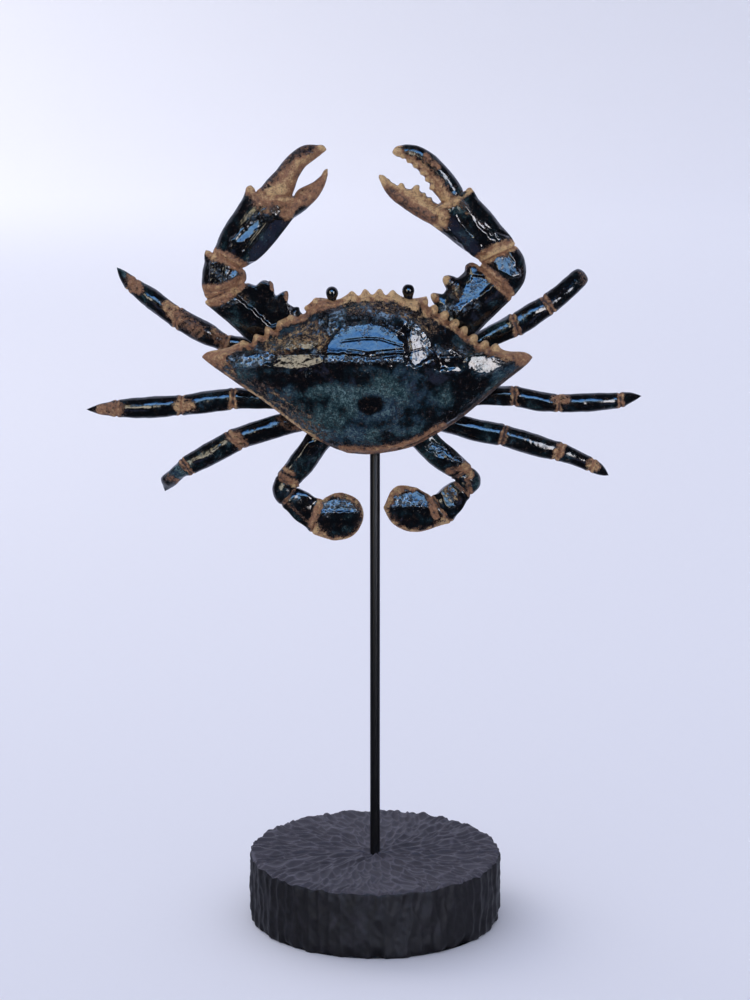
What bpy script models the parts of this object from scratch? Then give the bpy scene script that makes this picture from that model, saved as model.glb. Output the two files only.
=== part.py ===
"""A glazed stoneware swimming crab, modelled by hand, on a steel rod and a carved wooden base.

The crab hangs upright with its back to -Y and its claws up. X runs along the carapace, Z is up,
and the origin is the centre of the underside of the base. Lengths below are in millimetres.
"""

import math
from collections import namedtuple

import bmesh
import bpy
from mathutils import Vector

MM = 0.001

# Stand
BASE_RADIUS = 79.5
BASE_HEIGHT = 43.5
BASE_DISH = 2.0            # how far the top dips towards the rod
BASE_SCALLOPS = 60         # gouge cuts round the side
SCALLOP_DEPTH = 0.9
# Main gouge cuts in the top: radius of each ring of cuts, and how many lie side by side in it
TOP_CUTS = ((68.0, 30), (57.0, 24), (46.0, 20), (35.0, 15), (24.0, 10), (13.0, 6))
TOP_CUT_DEPTH = 1.1
ROD_RADIUS = 3.0
ROD_FOOT = 16.0            # the rod is glued this high above the table, inside the base
ROD_TOP = 324.0            # and this high inside the body
ROD_SIDES = 16

# Fit between neighbouring pieces
GAP = 0.3
CHAMFER = 0.7              # softened edge at each end of a limb piece

# Carapace: the margin lies in one plane, the back rises from it to an apex on the crest
MARGIN_FRONT_Y = -13.0
MARGIN_BACK_Y = -9.3
APEX = (-4.0, 357.0)       # x, z of the highest point of the back
DOME_HEIGHT = 25.0
DOME_RINGS = (0.2, 0.4, 0.6, 0.78, 0.92)
TOOTH_DEPTH = 3.8          # from the tips of the margin's teeth to the troughs between them

LEFT_TEETH = ((-79.5, 365.6), (-71.5, 369.0), (-65.0, 373.6), (-57.8, 376.8),
              (-50.9, 380.4), (-45.5, 384.8), (-41.4, 386.4))
RIGHT_TEETH = ((36.0, 386.4), (42.8, 382.8), (49.2, 377.4), (54.5, 373.2),
               (60.2, 368.5), (66.8, 364.6), (72.6, 362.8))
FRONTAL_TEETH = ((-13.9, 394.8), (-6.0, 396.0), (2.8, 396.2), (10.7, 395.4))
LEFT_ORBIT = ((-38.0, 386.0), (-35.2, 391.2), (-30.0, 390.8), (-25.4, 389.4), (-20.7, 389.6))
RIGHT_ORBIT = ((15.3, 391.4), (20.0, 390.4), (25.0, 390.4), (30.8, 391.8), (31.6, 385.0))
LEFT_SPINE = ((-100.4, 352.4), (-103.6, 355.4), (-101.2, 358.4), (-95.5, 359.4), (-87.0, 360.4))
RIGHT_SPINE = ((76.4, 358.8), (84.0, 358.4), (90.6, 358.6), (94.3, 355.4), (91.8, 351.6))
REAR_MARGIN = ((86.5, 347.2), (78.5, 341.2), (71.4, 335.2), (64.3, 328.8), (57.0, 322.8),
               (50.0, 316.9), (43.0, 312.2), (36.0, 308.3), (29.6, 304.6), (22.9, 300.8),
               (16.5, 299.0), (10.0, 298.0), (3.0, 296.8), (-4.0, 296.0), (-10.2, 296.4),
               (-16.5, 297.3), (-23.9, 299.6), (-31.0, 303.0), (-38.4, 307.4), (-46.0, 312.4),
               (-55.0, 319.8), (-64.0, 326.7), (-72.6, 332.8), (-81.0, 338.4), (-90.5, 345.2))

# Underbody: the thick shield behind the carapace that carries the limbs
UNDERBODY_CENTRE = (-4.0, 341.0)
UNDERBODY_HALF_WIDTH = 59.0
UNDERBODY_UP = 37.0
UNDERBODY_DOWN = 37.5
UNDERBODY_PROFILE = ((0.90, -8.9), (1.00, -3.0), (1.00, 8.0), (0.88, 15.0), (0.50, 18.6))
UNDERBODY_BACK_Y = 19.4
UNDERBODY_SIDES = 28

EYE_RADIUS = 3.9
STALK_RADIUS = 2.7
EYES = {"eye_left": (-25.6, 394.0, 386.0), "eye_right": (19.8, 395.4, 387.0)}  # x, ball z, foot z

LIMB_SIDES = 10
CLAW_SIDES = 12
KEEL = 1.3                 # above 1 draws the front of a claw piece up into a ridge

# A station is one cross-section of a limb: its two edge points a and b in the plane of the
# crab, its distance y from that plane, and half its thickness. At a joint two pieces meet.
Station = namedtuple("Station", "ax az bx bz y half joint")


def cut(ax, az, bx, bz, y, half):
    return Station(ax, az, bx, bz, y, half, False)


def joint(ax, az, bx, bz, y, half):
    return Station(ax, az, bx, bz, y, half, True)


LEGS = {
    "left_leg_1": {
        "pieces": ("merus", "carpus", "propodus", "dactyl"),
        "stations": (cut(-56, 357, -61, 345, 13, 5.6), cut(-76, 365.2, -80.5, 353.2, 13, 6.2),
                     joint(-89.0, 365.6, -93.2, 356.0, 12, 5.2),
                     cut(-104, 375.2, -109, 361.8, 11, 6.6),
                     joint(-117.4, 382.8, -121.4, 369.8, 11, 6.2),
                     cut(-131.5, 391.8, -137, 380.8, 13, 5.8),
                     joint(-144, 399.4, -150, 392.2, 16, 4.4),
                     cut(-150.4, 403.4, -154.4, 398.4, 18, 2.8)),
        "tip": (-157.0, 21.0, 406.0)},
    "left_leg_2": {
        "pieces": ("merus", "carpus", "propodus", "dactyl"),
        "stations": (cut(-50, 331.5, -50, 320.6, 12.5, 5.4), cut(-68, 333, -68, 319, 12, 6.0),
                     joint(-86, 333.6, -86.4, 320, 11, 5.8),
                     cut(-101, 332, -101, 317.6, 11, 6.6),
                     joint(-117.4, 329, -118.2, 316.4, 11, 5.8),
                     cut(-138, 328.2, -138, 314, 12, 6.4),
                     joint(-157.2, 325.6, -157.8, 314.8, 14, 4.8),
                     cut(-168, 322.6, -168.4, 316, 16, 2.9)),
        "tip": (-177.0, 18.0, 318.8)},
    "left_leg_3": {
        "pieces": ("merus", "propodus", "dactyl"),
        "stations": (cut(-34, 321, -28, 309.4, 12.5, 5.4), cut(-56, 318, -48, 305.6, 12.5, 6.0),
                     cut(-73, 313.2, -66, 299.8, 12, 6.4),
                     joint(-90.6, 306.6, -80.4, 295.4, 12, 6.2),
                     cut(-104, 298.8, -97, 286, 13, 6.4),
                     joint(-119.2, 289.2, -111.4, 279, 15, 5.8),
                     cut(-126.2, 282.4, -117.4, 276.2, 19, 5.8),
                     cut(-133.2, 274.6, -123.4, 269.8, 24, 5.0)),
        "tip": (-130.4, 28.0, 265.6)},
    "right_leg_1": {
        "pieces": ("merus", "propodus", "dactyl"),
        "stations": (cut(46, 358, 53, 346, 13, 5.6), cut(67, 371.6, 74, 358, 13, 6.2),
                     joint(82.8, 378.8, 87.4, 364.8, 12, 6.0),
                     cut(92, 384.6, 97, 370.2, 12, 6.6),
                     joint(101, 389.2, 108.8, 378.6, 14, 5.6),
                     cut(110, 395.4, 118.6, 386.2, 18, 6.2),
                     cut(119.4, 403.0, 128.0, 394.4, 23, 5.4),
                     cut(123.4, 404.6, 129.8, 398.2, 25, 3.6)),
        "tip": (127.6, 26.5, 402.8)},
    "right_leg_2": {
        "pieces": ("merus", "carpus", "propodus", "dactyl"),
        "stations": (cut(42, 331, 42, 320, 12.5, 5.4), cut(66, 335.2, 66, 321.6, 12, 6.0),
                     joint(84.6, 334.8, 84.6, 322, 11, 5.8),
                     cut(98, 331.8, 98, 318.8, 11, 6.0),
                     joint(111.6, 329.6, 112, 318.2, 11, 5.4),
                     cut(131, 330.2, 131, 318.2, 12, 5.6),
                     joint(149, 330, 150.4, 320.4, 14, 4.4),
                     cut(156, 329.8, 157.4, 323.8, 16, 2.7)),
        "tip": (163.4, 18.0, 327.2)},
    "right_leg_3": {
        "pieces": ("merus", "carpus", "propodus", "dactyl"),
        "stations": (cut(30, 321, 24, 309.4, 12.5, 5.4), cut(52, 316.6, 46, 305, 12.5, 6.0),
                     cut(68, 313, 62, 299, 12, 6.4),
                     joint(79.8, 310.8, 76.4, 297.6, 12, 6.2),
                     cut(97, 305.4, 93.4, 291.6, 12, 6.6),
                     joint(115.4, 299, 109.6, 288.4, 13, 5.4),
                     cut(125.6, 293.6, 121, 284.8, 15, 4.8),
                     joint(134.8, 288.4, 131.4, 280.6, 17, 4.0),
                     cut(140.4, 284.2, 137.2, 277.8, 18, 3.0)),
        "tip": (144.2, 20.0, 277.2)},
    "left_swimming_leg": {
        "pieces": ("merus", "carpus", "propodus", "paddle"),
        "stations": (cut(-35, 318, -15, 309, 0, 5.6), cut(-44.4, 302, -30.6, 296.4, 0, 6.4),
                     cut(-54, 290, -34.6, 286.4, 1, 7.0),
                     joint(-60, 281, -45.8, 275.2, 2, 6.2),
                     cut(-62.8, 276, -47.6, 274.9, 2, 6.8), cut(-63.4, 271, -48.2, 274.4, 2, 7.0),
                     cut(-61.4, 266, -48.4, 273.9, 2, 6.8),
                     joint(-57.6, 262.2, -48.2, 273.3, 2, 6.0),
                     cut(-54.2, 256.4, -41.8, 273.2, 2, 6.2),
                     cut(-47.4, 250, -37.2, 269.4, 2, 6.0),
                     joint(-38.8, 245.2, -32, 265.6, 2, 4.6),
                     cut(-33, 242.4, -26, 269.2, 2, 4.0), cut(-25, 240.1, -19.4, 270.2, 2, 3.8),
                     cut(-16, 241.6, -12.4, 267.4, 2, 3.3),
                     cut(-9.6, 247, -8, 263, 2, 2.6)),
        "tip": (-6.2, 2.0, 255.4)},
    "right_swimming_leg": {
        "pieces": ("merus", "carpus", "propodus", "paddle"),
        "stations": (cut(30, 319, 13, 308, 0, 5.6), cut(39.6, 304, 26, 295.6, 0, 6.4),
                     cut(50, 296.6, 35.6, 285, 1, 7.0),
                     joint(59.4, 286.2, 46, 279.4, 2, 6.2),
                     cut(64, 282.4, 47.8, 279.2, 2, 6.8), cut(65.4, 277.2, 48.3, 278.7, 2, 7.0),
                     cut(63.8, 272, 48.4, 278.2, 2, 6.8),
                     joint(58.6, 268.6, 48.2, 277.6, 2, 6.0),
                     cut(57.2, 263.2, 41.8, 276.4, 2, 6.2),
                     cut(53.6, 257, 37.4, 271.6, 2, 6.0),
                     joint(46.6, 251.6, 34.6, 268, 2, 4.6),
                     cut(38.4, 249.2, 28.6, 271.2, 2, 4.0), cut(28, 245.4, 20, 274.5, 2, 3.8),
                     cut(17, 246.8, 12.8, 274.2, 2, 3.3),
                     cut(9.4, 252, 7.8, 269.2, 2, 2.6)),
        "tip": (5.2, 2.0, 260.6)},
}

# A claw is merus, carpus and palm with the fixed finger, which is united with it; the movable
# finger stands on the end face of the palm. Knobs are a foot, a tip and a radius at the foot.
CLAWS = {
    "left_claw": {
        "stations": (cut(-30, 366, -54, 346, -0.6, 7.4), cut(-44.5, 381, -70, 358.4, -0.6, 7.4),
                     cut(-55, 388.4, -82, 368.8, -0.8, 8.2),
                     cut(-65.6, 395, -92, 377.6, -1, 9.2),
                     cut(-75, 398.8, -101.8, 386.0, -1, 9.4),
                     joint(-78.2, 398.4, -101.2, 388.8, -1, 8.4),
                     cut(-76.6, 400.6, -104.2, 396.0, -1, 9.8),
                     cut(-76.6, 403.2, -104.4, 402.6, -1, 10.0),
                     cut(-77.4, 405.6, -102.2, 410.6, -1, 9.6),
                     joint(-78.8, 407.4, -97.2, 417.2, -1, 8.2),
                     cut(-72.4, 410.2, -95.4, 421.6, -1, 9.6),
                     cut(-63.4, 417.6, -91.2, 432, -1.5, 11.0),
                     cut(-55.4, 427.8, -84.8, 440.4, -2, 11.0),
                     cut(-49, 436.6, -79.2, 449.4, -2, 10.4)),
        "end_face": cut(-42, 449, -75, 453.2, -2, 9.0),
        "finger": (cut(-56.5, 433.6, -63, 440, -2, 6.0), cut(-45.6, 439.0, -49.6, 446.4, -2, 7.0),
                   cut(-40.4, 443.2, -46.2, 454.4, -2, 6.4), cut(-35.2, 447.8, -41.4, 456.8, -2, 5.6),
                   cut(-31.2, 453.8, -37, 458.4, -2, 4.4), cut(-28.8, 458.6, -33, 461.6, -2, 3.2)),
        "finger_tip": (-28.0, -2.0, 466.4),
        "movable_face": (0.23, 0.87),
        "movable": (cut(-47.2, 455.6, -67.4, 456.4, -2, 7.8),
                    cut(-45.8, 460.4, -62.6, 461.6, -2, 7.4), cut(-43, 465, -56, 469.4, -2, 6.8),
                    cut(-41.2, 468.6, -50, 476.2, -2, 6.0), cut(-37.6, 470.8, -43.6, 480.6, -2, 5.0),
                    cut(-34.4, 473, -37, 481.3, -2, 4.0), cut(-31.6, 475.6, -32.4, 480.4, -2, 2.6)),
        "movable_tip": (-28.9, -2.0, 478.0),
        "merus_knobs": (((-68.2, -1, 391), (-65.4, -1, 400.8), 5.4),
                        ((-63.4, -1, 390), (-62.6, -1, 400.0), 3.2),
                        ((-59, -1, 384), (-52.4, -1, 394.2), 4.4),
                        ((-51, -1, 377.6), (-45.6, -1, 384.2), 3.2)),
        "carpus_knobs": (((-96.5, -1, 408), (-101, -2, 418.6), 3.8),),
        "palm_knobs": (((-75, -2, 445), (-73.6, -2, 457), 4.4),)},
    "right_claw": {
        "stations": (cut(42, 344, 22, 364, -0.6, 7.4), cut(58, 365, 34.5, 382.5, -0.6, 7.4),
                     cut(66.6, 374, 42, 393.6, -0.8, 8.2),
                     cut(73.6, 380.4, 49.4, 402.0, -1, 9.2),
                     cut(79.8, 386.2, 56.4, 407.6, -1, 9.4),
                     joint(82.6, 390.0, 62.4, 409.0, -1, 8.4),
                     cut(87.8, 394.8, 63.4, 409.7, -1, 9.8),
                     cut(91.4, 403.4, 63.8, 410.4, -1, 10.4),
                     cut(90.6, 411.6, 63.8, 411.0, -1, 10.4),
                     cut(87.6, 418, 63.4, 411.5, -1, 9.8),
                     joint(83.8, 421.6, 62.6, 411.8, -1, 8.2),
                     cut(82.4, 426.0, 57, 415.2, -1, 9.6),
                     cut(76.2, 432.6, 49.6, 420.4, -1.5, 11.0),
                     cut(69.6, 441.6, 41, 427.6, -2, 11.0),
                     cut(63.0, 448.2, 34.4, 433.0, -2, 10.4)),
        "end_face": cut(56, 454.2, 30.4, 441.6, -2, 9.0),
        "finger": (cut(48, 442, 42.5, 428.4, -2, 6.0), cut(37.6, 445.6, 33.2, 433.8, -2, 7.0),
                   cut(33, 448.8, 26.4, 437.0, -2, 6.6), cut(27, 453.6, 20, 440.8, -2, 6.0),
                   cut(19.6, 454.8, 13.4, 446, -2, 5.2), cut(13.4, 456.6, 8.2, 450.2, -2, 4.4),
                   cut(8.8, 459.6, 4.6, 455.4, -2, 3.2)),
        "finger_tip": (2.2, -2.0, 463.2),
        "movable_face": (0.15, 0.63),
        "movable": (cut(52.6, 455.2, 37.6, 449.8, -2, 7.6),
                    cut(47, 462.2, 33, 454.2, -2, 7.2), cut(42.8, 467.8, 31.2, 459.8, -2, 6.8),
                    cut(37.6, 473, 26.4, 464.6, -2, 6.2), cut(31.6, 477.6, 22.4, 468.8, -2, 5.4),
                    cut(25, 480.6, 18.2, 472.2, -2, 4.6), cut(18.8, 481.4, 15.4, 473.4, -2, 3.8),
                    cut(13.6, 479.8, 12.8, 474, -2, 2.6)),
        "movable_tip": (10.4, -2.0, 476.4),
        "merus_knobs": (((60.5, -1, 402), (55.6, -1, 411.2), 5.4),
                        ((49, -1, 395.5), (41.0, -1, 403), 5.0),
                        ((42, -1, 386), (33.6, -1, 391.8), 4.4)),
        "carpus_knobs": (),
        "palm_knobs": (((58.2, -2, 446), (55.6, -2, 455.6), 3.8),
                       ((24.4, -2, 450), (23.6, -2, 456.6), 3.0),
                       ((16, -2, 452), (15.4, -2, 458.2), 2.4)),
    },
}

# Plates on the rear of the underbody: stations from the rear of the crab to its mouth
ABDOMEN = (cut(15, 304.5, -23, 304.5, 17, 5.0), cut(13.5, 311, -21.5, 311, 19, 4.4),
           cut(4.4, 319.5, -12.4, 319.5, 19.4, 3.4), cut(2.6, 332, -10.6, 332, 19.6, 3.2),
           cut(0.2, 343, -8.2, 343, 19.6, 2.8))
ABDOMEN_TIP = (-4.0, 20.0, 349.0)
MOUTHPARTS = {
    "mouthpart_left": (cut(-4.6, 357, -14, 358.6, 17, 4.4), cut(-4.6, 365, -15.4, 366, 16, 4.6),
                       cut(-4.8, 373, -13.6, 372, 14, 4.0)),
    "mouthpart_right": (cut(6.0, 358.6, -3.4, 357, 17, 4.4), cut(7.4, 366, -3.4, 365, 16, 4.6),
                        cut(5.6, 372, -3.2, 373, 14, 4.0))}

FINISHES = {   # colour, roughness, metallic
    "dark_glaze": ((0.016, 0.035, 0.055), 0.12, 0.0),
    "bare_clay": ((0.26, 0.15, 0.075), 0.6, 0.0),
    "eye_glaze": ((0.006, 0.006, 0.008), 0.08, 0.0),
    "stained_wood": ((0.035, 0.032, 0.037), 0.75, 0.0),
    "blackened_steel": ((0.008, 0.008, 0.009), 0.4, 0.9),
}


def empty_the_scene():
    for old in list(bpy.data.objects):
        bpy.data.objects.remove(old, do_unlink=True)


def new_collection(name):
    collection = bpy.data.collections.new(name)
    bpy.context.scene.collection.children.link(collection)
    return collection


def finish(name):
    """The Principled material of a finish, made once."""
    material = bpy.data.materials.get(name)
    if material is None:
        colour, roughness, metallic = FINISHES[name]
        material = bpy.data.materials.new(name)
        material.use_nodes = True
        shader = material.node_tree.nodes["Principled BSDF"]
        shader.inputs["Base Color"].default_value = (*colour, 1.0)
        shader.inputs["Roughness"].default_value = roughness
        shader.inputs["Metallic"].default_value = metallic
    return material


def make_object(name, bm, material_name, collection):
    """Turns a bmesh in millimetres into an object in metres."""
    bmesh.ops.scale(bm, vec=(MM, MM, MM), verts=bm.verts)
    bmesh.ops.recalc_face_normals(bm, faces=bm.faces)
    mesh = bpy.data.meshes.new(name)
    bm.to_mesh(mesh)
    bm.free()
    mesh.shade_smooth()
    mesh.set_sharp_from_angle(angle=math.radians(50))
    mesh.materials.append(finish(material_name))
    obj = bpy.data.objects.new(name, mesh)
    collection.objects.link(obj)
    return obj


def make_tool(name, bm, collection):
    """A shape that only cuts or adds to another."""
    tool = make_object(name, bm, "bare_clay", collection)
    tool.hide_render = True
    tool.display_type = "WIRE"
    return tool


def combine(obj, tool, operation):
    modifier = obj.modifiers.new(tool.name, "BOOLEAN")
    modifier.operation = operation
    modifier.object = tool


def ringed_sphere(sides, rings, place, poles):
    """A UV sphere whose ring j and meridian k go to place(j, k), and its poles to poles."""
    bm = bmesh.new()
    bmesh.ops.create_uvsphere(bm, u_segments=sides, v_segments=rings + 1, radius=1.0)
    for vert in bm.verts:
        step = math.acos(max(-1.0, min(1.0, vert.co.z))) / math.pi * (rings + 1)
        ring = round(step)
        if ring == 0:
            vert.co = Vector(poles[0])
        elif ring == rings + 1:
            vert.co = Vector(poles[1])
        else:
            turn = math.atan2(vert.co.y, vert.co.x) / math.tau
            vert.co = place(ring - 1, round(turn * sides) % sides)
    return bm


def spline(values, position):
    """Catmull-Rom curve through the values, read at a position from 0 to len(values) - 1."""
    last = len(values) - 1
    index = min(int(position), last - 1)
    t = position - index
    before = values[max(index - 1, 0)]
    start, end = values[index], values[index + 1]
    after = values[min(index + 2, last)]
    return 0.5 * (2 * start + (end - before) * t + (2 * before - 5 * start + 4 * end - after) * t * t
                  + (3 * start - before - 3 * end + after) * t ** 3)


def between(stations, position):
    """The station at a position along a list of stations."""
    fields = zip(*(station[:6] for station in stations))
    return Station(*(spline(field, position) for field in fields), False)


def moved(station, distance, shrink=0.0):
    """A station moved along the limb, and drawn in on every side."""
    a = Vector((station.ax, station.az))
    b = Vector((station.bx, station.bz))
    across = (b - a).normalized()
    along = Vector((across.y, -across.x)) * distance
    a = a + along + across * shrink
    b = b + along - across * shrink
    return Station(a.x, a.y, b.x, b.y, station.y, station.half - shrink, False)


def heading(stations):
    """+1 or -1: which way moved() goes when it goes from the first station towards the last."""
    first, last = stations[0], stations[-1]
    across = Vector((first.bx - first.ax, first.bz - first.az))
    along = Vector((across.y, -across.x))
    travel = Vector((last.ax + last.bx - first.ax - first.bx, last.az + last.bz - first.az - first.bz))
    return 1.0 if along.dot(travel) > 0 else -1.0


def rings_of(stations, per_span, start_joint, end_joint):
    """Cross-sections of one limb piece, with a softened flat end wherever it meets another."""
    steps = (len(stations) - 1) * per_span
    rings = [between(stations, i / per_span) for i in range(steps + 1)]
    if start_joint:
        way = heading(rings[:2])
        rings[0:1] = [moved(rings[0], way * GAP / 2, CHAMFER / 2), moved(rings[0], way * CHAMFER)]
    if end_joint:
        way = heading(rings[-2:])
        rings[-1:] = [moved(rings[-1], -way * CHAMFER), moved(rings[-1], -way * GAP / 2, CHAMFER / 2)]
    return rings


def middle(station):
    return Vector(((station.ax + station.bx) / 2, station.y, (station.az + station.bz) / 2))


def loft(rings, sides, tip=None, keel=1.0):
    """A closed body through the rings; tip ends it in a point, keel ridges its front."""
    def place(j, k):
        ring = rings[j]
        angle = math.tau * k / sides
        half_side = Vector((ring.bx - ring.ax, 0.0, ring.bz - ring.az)) / 2
        rise = math.sin(angle)
        power = keel if rise < 0 else 1.0
        depth = math.copysign(abs(rise) ** power, rise) * ring.half
        return middle(ring) + half_side * math.cos(angle) + Vector((0.0, depth, 0.0))
    return ringed_sphere(sides, len(rings), place, (middle(rings[0]), tip or middle(rings[-1])))


def knob(foot, tip, radius):
    """A blunt tooth or spine that grows from foot to tip."""
    foot, tip = Vector(foot), Vector(tip)
    axis = tip - foot
    across = Vector((0.0, 1.0, 0.0)).cross(axis).normalized()
    shape = ((0.0, 1.0), (0.55, 0.86), (0.86, 0.5))   # share of the length, share of the radius

    def place(j, k):
        along, size = shape[j]
        angle = math.tau * k / 8
        offset = across * math.cos(angle) + Vector((0.0, 1.0, 0.0)) * math.sin(angle)
        return foot + axis * along + offset * radius * size
    return ringed_sphere(8, len(shape), place, (foot, tip))


def split_at_joints(stations):
    """The stations of each piece; a joint ends one piece and starts the next."""
    pieces, current = [], []
    for station in stations:
        current.append(station)
        if station.joint:
            pieces.append(current)
            current = [station]
    pieces.append(current)
    return pieces


def margin_outline():
    """The carapace's toothed margin: point on the margin, and the same point with no tooth."""
    outline = []

    def plain(points):
        outline.extend((Vector(p), Vector(p)) for p in points)

    def toothed(points):
        tips = [Vector(p) for p in points]
        for i, tip in enumerate(tips):
            chord = tips[min(i + 1, len(tips) - 1)] - tips[max(i - 1, 0)]
            inward = Vector((chord.y, -chord.x)).normalized() * TOOTH_DEPTH
            outline.append((tip, tip + inward))
            if i + 1 < len(tips):
                step = tips[i + 1] - tip
                inward = Vector((step.y, -step.x)).normalized() * TOOTH_DEPTH
                trough = tip + step / 2 + inward
                outline.append((trough, trough))

    plain(LEFT_SPINE)
    toothed(LEFT_TEETH)
    plain(LEFT_ORBIT)
    toothed(FRONTAL_TEETH)
    plain(RIGHT_ORBIT)
    toothed(RIGHT_TEETH)
    plain(RIGHT_SPINE)
    plain(REAR_MARGIN)
    return outline


def carapace(clearance=0.0):
    """The domed shield; its meridians run from the apex out to each point of the margin."""
    outline = margin_outline()
    count = len(outline)
    apex = Vector(APEX)
    rim = ((1.0, MARGIN_FRONT_Y), (1.0, MARGIN_BACK_Y), (0.9, MARGIN_BACK_Y + 0.1))
    rings = len(DOME_RINGS) + len(rim)

    def place(j, k):
        tooth, plain = outline[k]
        if j < len(DOME_RINGS):
            share = DOME_RINGS[j]
            y = MARGIN_FRONT_Y - DOME_HEIGHT * (1 - share ** 2.2) ** 0.8
            point = apex + (plain - apex) * share
        else:
            share, y = rim[j - len(DOME_RINGS)]
            point = apex + ((tooth if share == 1.0 else plain) - apex) * share
        if clearance and j >= len(DOME_RINGS) - 1:
            point = point + (point - apex).normalized() * clearance
        return Vector((point.x, y, point.y))
    front = (apex.x, MARGIN_FRONT_Y - DOME_HEIGHT, apex.y)
    back = (apex.x, MARGIN_BACK_Y + 0.1, apex.y)
    return ringed_sphere(count, rings, place, (front, back))


def underbody(clearance=0.0):
    """A rounded shield, widest at mid height, flat where it backs the carapace."""
    cx, cz = UNDERBODY_CENTRE

    def place(j, k):
        share, y = UNDERBODY_PROFILE[j]
        angle = math.tau * k / UNDERBODY_SIDES
        reach = UNDERBODY_UP if math.sin(angle) > 0 else UNDERBODY_DOWN
        x = math.copysign(abs(math.cos(angle)) ** 0.8, math.cos(angle)) * UNDERBODY_HALF_WIDTH
        z = math.copysign(abs(math.sin(angle)) ** 0.95, math.sin(angle)) * reach
        grow = 1.0 + clearance / UNDERBODY_UP
        return Vector((cx + x * share * grow, y * grow, cz + z * share * grow))
    front_y = UNDERBODY_PROFILE[0][1]
    poles = ((cx, front_y * (1 + clearance / 9), cz), (cx, UNDERBODY_BACK_Y + clearance, cz))
    return ringed_sphere(UNDERBODY_SIDES, len(UNDERBODY_PROFILE), place, poles)


def rod(radius, bottom, top):
    bm = bmesh.new()
    corner = radius / math.cos(math.pi / ROD_SIDES)
    bmesh.ops.create_cone(bm, cap_ends=True, segments=ROD_SIDES, radius1=corner, radius2=corner,
                          depth=top - bottom)
    bmesh.ops.translate(bm, vec=(0.0, 0.0, (top + bottom) / 2), verts=bm.verts)
    return bm


def base():
    """A turned disc: upright gouge cuts round its side, rings of them in its dished top."""
    profile = ((BASE_RADIUS - 2.5, 0.0, 0.4), (BASE_RADIUS, 2.5, 1.0),
               (BASE_RADIUS, BASE_HEIGHT - 2.5, 1.0), (BASE_RADIUS - 3.0, BASE_HEIGHT, 0.4))
    sides = 2 * BASE_SCALLOPS

    def place(j, k):
        angle = math.tau * k / sides
        if j < len(profile):
            radius, z, share = profile[j]
            if k % 2:
                radius -= SCALLOP_DEPTH * share
        else:
            radius, cuts = TOP_CUTS[j - len(profile)]
            hollow = 0.5 - 0.5 * math.cos(cuts * angle + math.pi * j)
            z = BASE_HEIGHT - BASE_DISH * (1 - radius / BASE_RADIUS) - TOP_CUT_DEPTH * hollow
        return Vector((radius * math.cos(angle), radius * math.sin(angle), z))
    poles = ((0.0, 0.0, 0.0), (0.0, 0.0, BASE_HEIGHT - BASE_DISH))
    return ringed_sphere(sides, len(profile) + len(TOP_CUTS), place, poles)


def eye(x, ball_z, foot_z):
    """A ball on a short stalk, as one turned shape."""
    heights = [(foot_z, STALK_RADIUS), (ball_z - EYE_RADIUS * 0.8, STALK_RADIUS)]
    for step in range(4):
        angle = math.radians(-25 + step * 28)
        heights.append((ball_z + EYE_RADIUS * math.sin(angle), EYE_RADIUS * math.cos(angle)))
    y = (MARGIN_FRONT_Y + MARGIN_BACK_Y) / 2

    def place(j, k):
        z, radius = heights[j]
        angle = math.tau * k / 12
        return Vector((x + radius * math.cos(angle), y + radius * math.sin(angle), z))
    return ringed_sphere(12, len(heights), place, ((x, y, foot_z), (x, y, ball_z + EYE_RADIUS)))


def build_leg(name, leg, parts, socket):
    pieces = split_at_joints(leg["stations"])
    for number, (piece, stations) in enumerate(zip(leg["pieces"], pieces)):
        last = number == len(pieces) - 1
        per_span = 2 if last or len(stations) <= 3 else 1
        rings = rings_of(stations, per_span, number > 0, not last)
        bm = loft(rings, LIMB_SIDES, leg["tip"] if last else None)
        obj = make_object(f"{name}_{piece}", bm, "dark_glaze", parts)
        if number == 0:
            combine(obj, socket, "DIFFERENCE")


def add_knobs(obj, knobs, tools):
    for number, (foot, tip, radius) in enumerate(knobs, 1):
        tool = make_tool(f"{obj.name}_knob_{number}", knob(foot, tip, radius), tools)
        combine(obj, tool, "UNION")


def build_claw(name, claw, parts, tools, socket):
    face = claw["end_face"]
    merus, carpus, palm = split_at_joints(claw["stations"])
    palm = palm + [face]

    rings = rings_of(merus, 1, False, True)
    obj = make_object(f"{name}_merus", loft(rings, CLAW_SIDES, keel=KEEL), "dark_glaze", parts)
    add_knobs(obj, claw["merus_knobs"], tools)
    combine(obj, socket, "DIFFERENCE")

    rings = rings_of(carpus, 1, True, True)
    obj = make_object(f"{name}_carpus", loft(rings, CLAW_SIDES, keel=KEEL), "dark_glaze", parts)
    add_knobs(obj, claw["carpus_knobs"], tools)

    rings = rings_of(palm, 1, True, False)
    obj = make_object(f"{name}_palm", loft(rings, CLAW_SIDES, keel=KEEL), "dark_glaze", parts)
    finger = loft(rings_of(claw["finger"], 1, False, False), CLAW_SIDES, claw["finger_tip"])
    combine(obj, make_tool(f"{name}_fixed_finger", finger, tools), "UNION")
    add_knobs(obj, claw["palm_knobs"], tools)

    near, far = claw["movable_face"]
    a = Vector((face.ax, face.az))
    b = Vector((face.bx, face.bz))
    start, end = a.lerp(b, near), a.lerp(b, far)
    foot = cut(start.x, start.y, end.x, end.y, face.y, 7.6)
    foot = moved(foot, heading((foot, claw["movable"][0])) * GAP)
    rings = rings_of((foot,) + claw["movable"], 1, False, False)
    bm = loft(rings, CLAW_SIDES, claw["movable_tip"])
    make_object(f"{name}_finger", bm, "bare_clay", parts)


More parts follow.
